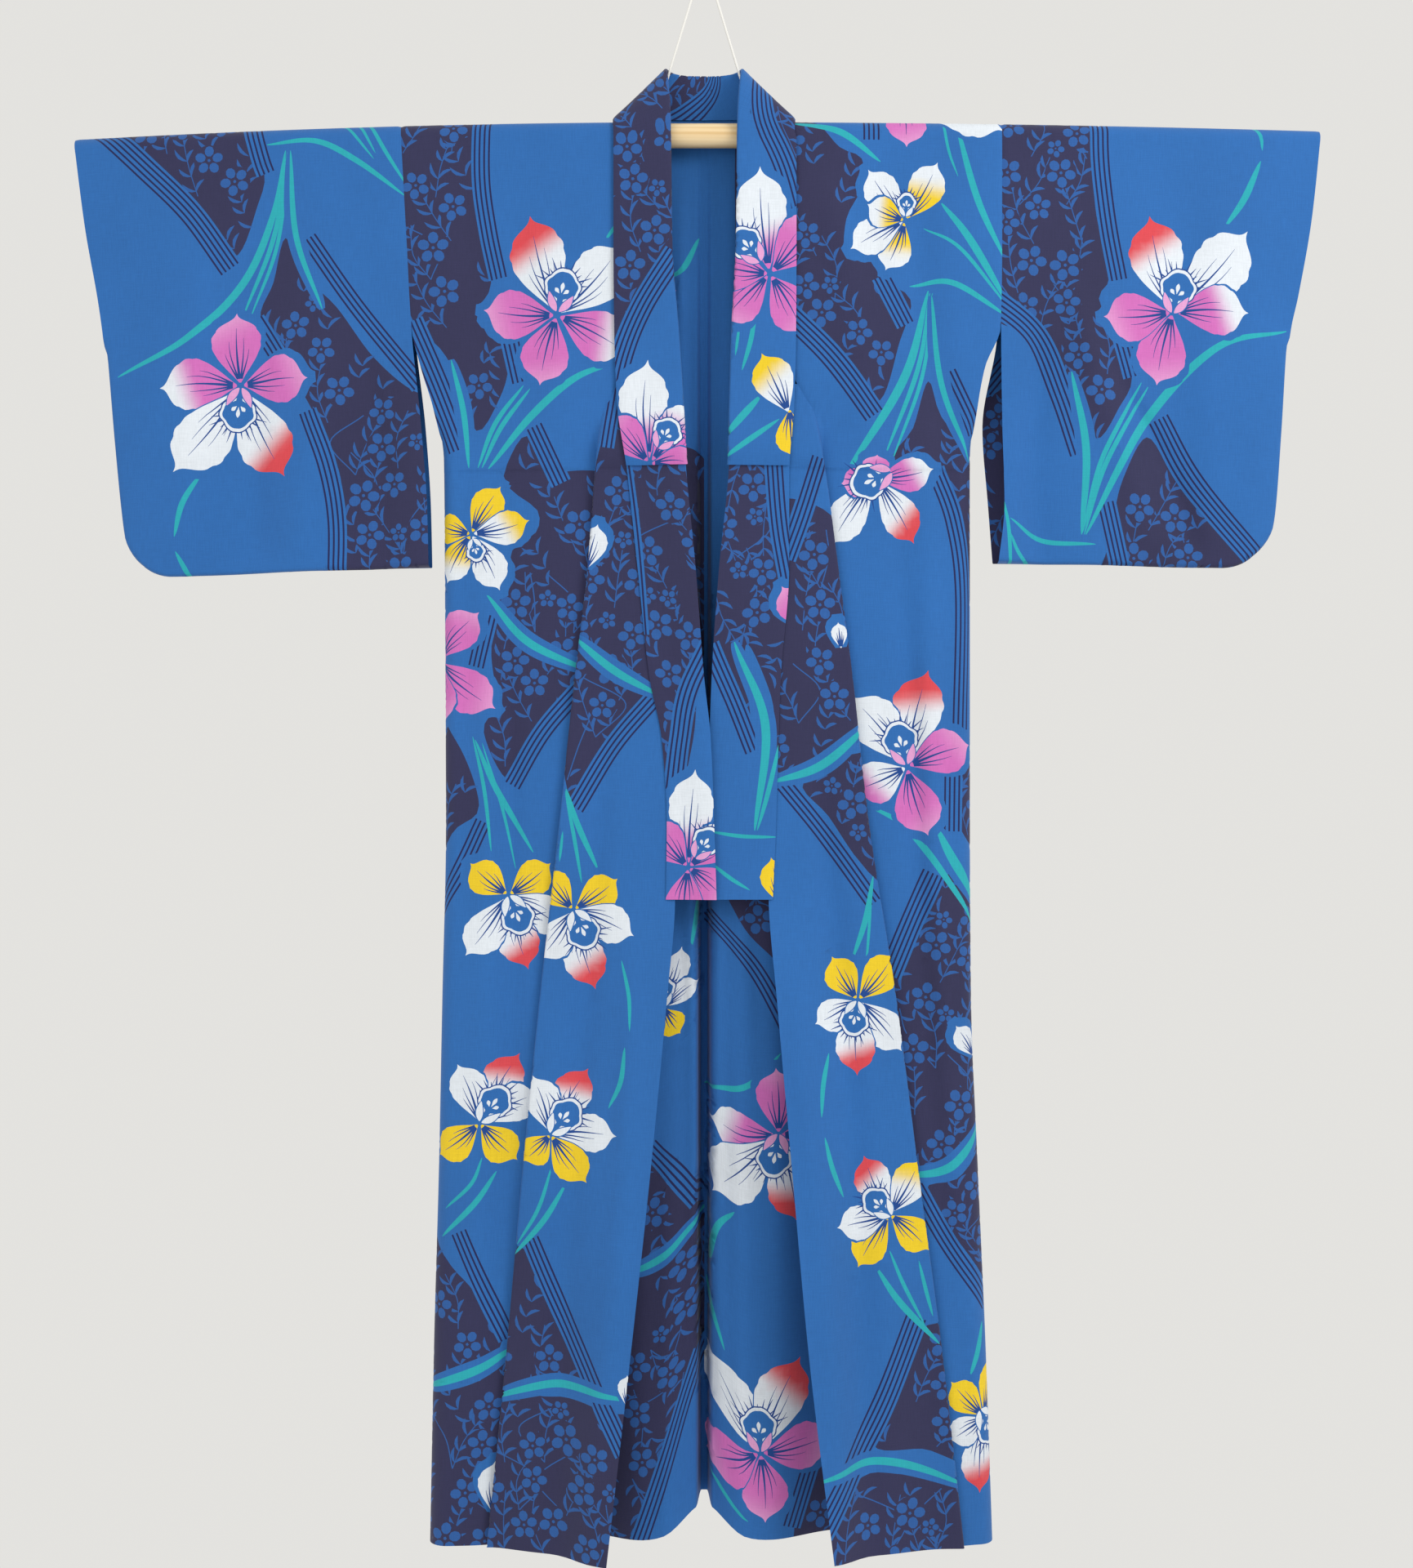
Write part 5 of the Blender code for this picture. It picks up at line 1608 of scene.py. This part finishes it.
def build(name, parts, material):
    """One piece of cloth from its cut sheets, joined where they meet."""
    places, flats, seams, faces, shades, offset = [], [], [], [], [], 0
    for part_places, flat, seam, part_faces, part_shades, colours in parts:
        places.append(part_places)
        flats.append(flat)
        seams.append(seam)
        faces += [[i + offset for i in face] for face in part_faces]
        for face, shade in zip(part_faces, part_shades):
            colour = colours[shade]
            corners = colour(flat[face]) if callable(colour) else [colour] * 3
            shades.append(corners)
        offset += len(part_places)
    places, flats, seams = np.concatenate(places), np.concatenate(flats), np.concatenate(seams)
    mesh = bpy.data.meshes.new(name)
    mesh.from_pydata(places.tolist(), [], faces)
    normals = np.zeros(len(places) * 3)
    mesh.vertices.foreach_get("normal", normals)
    dip = SEAM_DEPTH * np.exp(-((seams / SEAM_WIDTH) ** 2))
    places = places - normals.reshape(-1, 3) * dip[:, None]
    mesh.vertices.foreach_set("co", places.ravel())
    colour = mesh.color_attributes.new("print", "FLOAT_COLOR", "CORNER")
    values = np.ones((len(faces) * 3, 4))
    values[:, :3] = np.array(shades).reshape(-1, 3)
    colour.data.foreach_set("color", values.ravel())
    flat_layer = mesh.uv_layers.new(name="flat")
    corners = np.zeros(len(mesh.loops), np.int32)
    mesh.loops.foreach_get("vertex_index", corners)
    flat_layer.data.foreach_set("uv", (flats[corners] / 1000).ravel())
    mesh.polygons.foreach_set("use_smooth", np.ones(len(faces), bool))
    mesh.materials.append(material)
    piece = add_object(name, mesh)
    bpy.context.view_layer.objects.active = piece
    weld = piece.modifiers.new("weld", "WELD")
    weld.merge_threshold = WELD
    graph = bpy.context.evaluated_depsgraph_get()
    welded = bpy.data.meshes.new_from_object(piece.evaluated_get(graph), depsgraph=graph)
    piece.modifiers.remove(weld)
    piece.data = welded
    bpy.data.meshes.remove(mesh)
    welded.name = name
    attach(piece, "root")
    return piece


# Materials

class Shading:
    """A material in the making. A socket given as an input is linked, any other value is set."""

    def __init__(self, name, inputs):
        self.material = bpy.data.materials.new(name)
        self.material.use_nodes = True
        self.tree = self.material.node_tree
        self.shader = self.tree.nodes["Principled BSDF"]
        self.feed(self.shader, inputs)

    def feed(self, node, inputs):
        for name, value in inputs.items():
            if isinstance(value, bpy.types.NodeSocket):
                self.tree.links.new(value, node.inputs[name])
            else:
                node.inputs[name].default_value = value

    def add(self, kind, inputs):
        node = self.tree.nodes.new("ShaderNode" + kind)
        self.feed(node, inputs)
        return node

    def join(self, operation, first, second):
        node = self.add("Math", {0: first, 1: second})
        node.operation = operation
        return node.outputs[0]

    def colour(self, value, *stops):
        """Colours the shader by a value, from stops of (position, colour)."""
        node = self.add("ValToRGB", {"Fac": value})
        for element, (position, colour) in zip(node.color_ramp.elements, stops):
            element.position = position
            element.color = (*linear(*colour), 1)
        self.feed(self.shader, {"Base Color": node.outputs["Color"]})

    def bump(self, value, strength, distance):
        node = self.add("Bump", {"Height": value, "Strength": strength, "Distance": distance})
        self.feed(self.shader, {"Normal": node.outputs["Normal"]})


def cotton():
    """Fine plain-weave cotton whose dye goes right through, with slubs and an uneven ground."""
    cloth = Shading("yukata_cotton", {
        "Roughness": 0.82, "Specular IOR Level": 0.25, "Sheen Weight": 0.12, "Sheen Roughness": 0.5,
    })
    print_colour = cloth.add("VertexColor", {})
    print_colour.layer_name = "print"
    flat = cloth.add("UVMap", {})
    flat.uv_map = "flat"

    def noise(scale_x, scale_y, detail, rough):
        stretch = cloth.add("Mapping", {"Vector": flat.outputs["UV"], "Scale": (scale_x, scale_y, 1.0)})
        texture = cloth.add("TexNoise", {
            "Vector": stretch.outputs["Vector"], "Scale": 1.0, "Detail": detail, "Roughness": rough,
        })
        return texture.outputs["Fac"]

    def ranged(value, low, high):
        node = cloth.add("MapRange", {
            "Value": value, "From Min": 0.3, "From Max": 0.7, "To Min": low, "To Max": high,
        })
        return node.outputs["Result"]

    warp = noise(900, 60, 2, 0.6)
    weft = noise(60, 900, 2, 0.6)
    cloudy = noise(9, 5, 3, 0.5)
    threads = cloth.join("MULTIPLY", ranged(warp, 0.95, 1.05), ranged(weft, 0.96, 1.04))
    tone = cloth.join("MULTIPLY", threads, ranged(cloudy, 0.95, 1.05))
    shaded = cloth.add("VectorMath", {})
    shaded.operation = "SCALE"
    cloth.feed(shaded, {0: print_colour.outputs["Color"], "Scale": tone})
    cloth.feed(cloth.shader, {"Base Color": shaded.outputs["Vector"]})
    cloth.bump(cloth.join("ADD", warp, weft), 0.25, 0.0004)
    return cloth.material


def wood():
    """Pale unvarnished wood with its grain along the rod."""
    pale = Shading("pale_wood", {"Roughness": 0.55})
    place = pale.add("TexCoord", {})
    stretch = pale.add("Mapping", {"Vector": place.outputs["Object"], "Scale": (3.0, 160.0, 160.0)})
    grain = pale.add("TexNoise", {
        "Vector": stretch.outputs["Vector"], "Scale": 1.0, "Detail": 4, "Distortion": 0.6,
    })
    pale.colour(grain.outputs["Fac"], (0.3, (222, 186, 130)), (0.62, (250, 224, 178)))
    pale.bump(grain.outputs["Fac"], 0.2, 0.0003)
    return pale.material


def cord_cotton():
    """White cotton with fine fibres."""
    white = Shading("white_cord", {"Roughness": 0.9})
    fibres = white.add("TexNoise", {"Scale": 2500.0})
    white.colour(fibres.outputs["Fac"], (0.0, (222, 220, 214)), (1.0, (248, 247, 243)))
    return white.material


def add_object(name, data):
    """A new object in the scene, for a mesh, a lamp or a camera."""
    made = bpy.data.objects.new(name, data)
    bpy.context.scene.collection.objects.link(made)
    return made


# Rod and cord

def tube(name, route, radii, sides, material, strands=0, lay=0.0):
    """A round bar along a route, its radius given at each point. strands twist round it."""
    route = np.array(route, float)
    along = np.gradient(route, axis=0)
    along /= np.linalg.norm(along, axis=1)[:, None]
    lengths = np.concatenate([[0.0], np.cumsum(np.linalg.norm(np.diff(route, axis=0), axis=1))])
    across = np.cross(along[0], (0.0, 0.31, 0.95) if abs(along[0][0]) > 0.5 else (0.95, 0.31, 0.0))
    points, rings = [], []
    for place, way, radius, length in zip(route, along, radii, lengths):
        across = across - way * np.dot(across, way)
        across /= np.linalg.norm(across)
        other = np.cross(way, across)
        ring = []
        for i in range(sides):
            a = 2 * math.pi * i / sides
            r = radius
            if strands:
                r *= 0.86 + 0.14 * abs(math.cos(strands * (a - 2 * math.pi * length / lay) / 2))
            points.append(tuple(place + r * (math.cos(a) * across + math.sin(a) * other)))
            ring.append(len(points) - 1)
        rings.append(ring)
    faces = []
    for first, second in zip(rings, rings[1:]):
        for i in range(sides):
            j = (i + 1) % sides
            faces.append([first[i], first[j], second[j], second[i]])
    faces.append(rings[0][::-1])
    faces.append(rings[-1])
    mesh = bpy.data.meshes.new(name)
    mesh.from_pydata(points, [], faces)
    mesh.polygons.foreach_set("use_smooth", np.ones(len(faces), bool))
    mesh.materials.append(material)
    return add_object(name, mesh)


def rod_height(x):
    """Height of the rod's axis."""
    return ROD_Z - BOW["left" if x < 0 else "right"] * x * x


def make_rod():
    """The dowel, its ends eased."""
    ease = 0.0015
    low, high = ROD_ENDS
    end = [ROD_RADIUS - ease, ROD_RADIUS - ease * 0.3, ROD_RADIUS]
    xs = [low, low + ease * 0.4, low + ease, *np.linspace(low + 0.02, high - 0.02, 60)]
    xs += [high - ease, high - ease * 0.4, high]
    radii = end + [ROD_RADIUS] * 60 + end[::-1]
    rod = tube("rod", [(x, 0.0, rod_height(x)) for x in xs], radii, 40, wood())
    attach(rod, "root")
    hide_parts("hanger_rod")


def cord_leg(side):
    """The turn round the rod and the leg up from it."""
    x = SIGN[side] * CORD_AT_ROD
    ring = ROD_RADIUS + ROD_GAP + CORD_RADIUS
    z = rod_height(x)
    route = []
    for angle in range(342, 20, -20):
        a = math.radians(angle)
        route.append((x, ring * math.sin(a), z + ring * math.cos(a)))
    foot = (x, 0.0, z + ring + CORD_FOOT)
    top_x, top_z = CORD_BEND * math.cos(CORD_LEAN), CORD_BEND * (math.sin(CORD_LEAN) - 1)
    lean = (SIGN[side] * top_x - x) / (top_z - foot[2])
    for rise, y in ((0.0015, 0.0030), (0.0042, 0.0008)):
        route.append((x + lean * (rise - CORD_FOOT), y, z + ring + rise))
    route.append(foot)
    for t in (0.35, 0.7):
        route.append((mix(x, SIGN[side] * top_x, t), 0.0, mix(foot[2], top_z, t)))
    return route


def make_cord():
    """Both legs and the loop between them, as three strands twisted together."""
    angles = [math.pi - CORD_LEAN] + [math.radians(a) for a in (135, 112, 90, 68, 45)] + [CORD_LEAN]
    bend = [(CORD_BEND * math.cos(a), 0.0, CORD_BEND * (math.sin(a) - 1)) for a in angles]
    corners = cord_leg("left") + bend + cord_leg("right")[::-1]
    route = []
    for a, b in zip(corners, corners[1:]):
        steps = max(1, round(math.dist(a, b) / 0.0012))
        for k in range(steps):
            route.append(tuple(mix(p, q, k / steps) for p, q in zip(a, b)))
    route.append(corners[-1])
    cord = tube("cord", route, [CORD_RADIUS] * len(route), 12, cord_cotton(), strands=3, lay=0.006)
    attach(cord, "root")
    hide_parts("hanging_cord")
    length = sum(math.dist(a, b) for a, b in zip(route, route[1:]))
    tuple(route[0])


# Whole robe

def make_cloth():
    """Every piece of cloth, cut, printed and in its place."""
    material = cotton()
    far_left = PRINT["back_left"] + mirrored(PRINT["body_right"], lambda x: x < 735)
    far_right = PRINT["back_right"] + mirrored(PRINT["body_left"], lambda x: x > 990)
    back_print = {"left": far_left, "right": far_right}
    pieces = {}

    def make(node, parts):
        pieces[node] = build(node + "_cloth", parts, material)

    for side, seed in (("left", 1), ("right", 2)):
        panel, lap = body_front(side)
        back = body_back(side)
        other = "right" if side == "left" else "left"

        def place(kind):
            return lambda x, y: flat_place(kind + "_" + side, x, y)

        front_cut = cut(panel, draw(PRINT["body_" + side], place("body"), seed))
        back_cut = cut(back, draw(back_print[side], place("back"), seed + 2))
        lap_cut = cut(lap, draw(PRINT["overlap_" + side], place("overlap"), seed + 4))
        crease_pieces(front_cut[0], "front_" + side, -1)
        crease_pieces(lap_cut[0], "front_" + side, -1)
        crease_pieces(back_cut[0], "back_" + side, 1)
        make("body_" + side, [front_cut, back_cut])
        make("overlap_" + side, [lap_cut])
        halves = []
        behind = mirrored(PRINT["sleeve_" + other], lambda x: True)
        for face, rows in ((-1, PRINT["sleeve_" + side]), (1, behind)):
            def sleeve_spot(x, y, face=face):
                u, v = flat_place("sleeve_" + side, x, y)
                return np.array((u, v if face < 0 else -v))

            made = cut(sleeve_half(side, face), draw(rows, sleeve_spot, seed + 6 + face))
            crease_pieces(made[0], "sleeve_" + side, face)
            halves.append(made)
        make("sleeve_" + side, halves)
    for node, sheet in (("collar", collar_sheet()), ("cover", cover_sheet())):
        shapes = []
        for side, seed in (("left", 11), ("right", 12)):
            panel = node + "_" + side
            shapes += draw(PRINT[panel], lambda x, y: flat_place(panel, x, y), seed)
        if node == "cover":
            shapes += draw(PRINT["nape"], nape_place, 13)
        made = cut(sheet, shapes)
        for side in ("left", "right"):
            chosen = (SIGN[side] * made[0][:, 0] > 0) & (made[0][:, 1] < 0)
            own = made[0][chosen]
            crease_pieces(own, "front_" + side, -1)
            made[0][chosen] = own
        make(node, [made])
    for node, piece in pieces.items():
        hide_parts("collar_cover" if node == "cover" else node)
    return pieces


def make_camera():
    """Level and straight in front, with the photograph's frame at the rod's depth."""
    data = bpy.data.cameras.new("camera")
    camera = add_object("camera", data)
    camera.location = (CAMERA_X, -CAMERA_DISTANCE, CAMERA_Z)
    camera.rotation_euler = (math.radians(90), 0, 0)
    data.sensor_width = 36.0
    data.lens = 36.0 * CAMERA_DISTANCE / (PHOTO_HEIGHT * METRES_PER_PIXEL)
    data.clip_end = 20
    bpy.context.scene.camera = camera


def make_floor():
    """A pale round floor, below the photograph's view."""
    angles = np.linspace(0, 2 * math.pi, 64, endpoint=False)
    rim = [(FLOOR_RADIUS * math.cos(a), FLOOR_RADIUS * math.sin(a), FLOOR_Z) for a in angles]
    mesh = bpy.data.meshes.new("floor")
    mesh.from_pydata(rim, [], [list(range(len(rim)))])
    pale = Shading("floor", {"Base Color": (0.74, 0.73, 0.71, 1), "Roughness": 0.9})
    mesh.materials.append(pale.material)
    floor = add_object("floor", mesh)


def make_light():
    """An even pale surround, a key from the right and weaker lights from the left and behind."""
    scene = bpy.context.scene
    scene.view_settings.view_transform = "Standard"
    world = bpy.data.worlds.new("world")
    scene.world = world
    world.use_nodes = True
    world.node_tree.nodes["Background"].inputs["Color"].default_value = (0.93, 0.92, 0.89, 1)
    world.node_tree.nodes["Background"].inputs["Strength"].default_value = 0.83
    for name, place, aim, size, power in (
        ("key", (1.9, -1.9, 0.6), (0.0, 0.0, -0.75), 1.2, 33.0),
        ("fill", (-1.5, -2.2, -0.5), (0.0, 0.0, -0.9), 1.6, 9.0),
        ("rear", (0.0, 2.4, 0.6), (0.0, 0.0, -0.8), 1.8, 18.0),
    ):
        data = bpy.data.lights.new(name, "AREA")
        data.size = size
        data.energy = power
        lamp = add_object(name, data)
        lamp.location = place
        lamp.rotation_euler = (Vector(aim) - Vector(place)).to_track_quat("-Z", "Y").to_euler()


def main():
    for old in list(bpy.data.objects):
        bpy.data.objects.remove(old)
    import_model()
    make_camera()
    make_floor()
    make_light()
    make_rod()
    make_cord()
    pieces = make_cloth()


main()
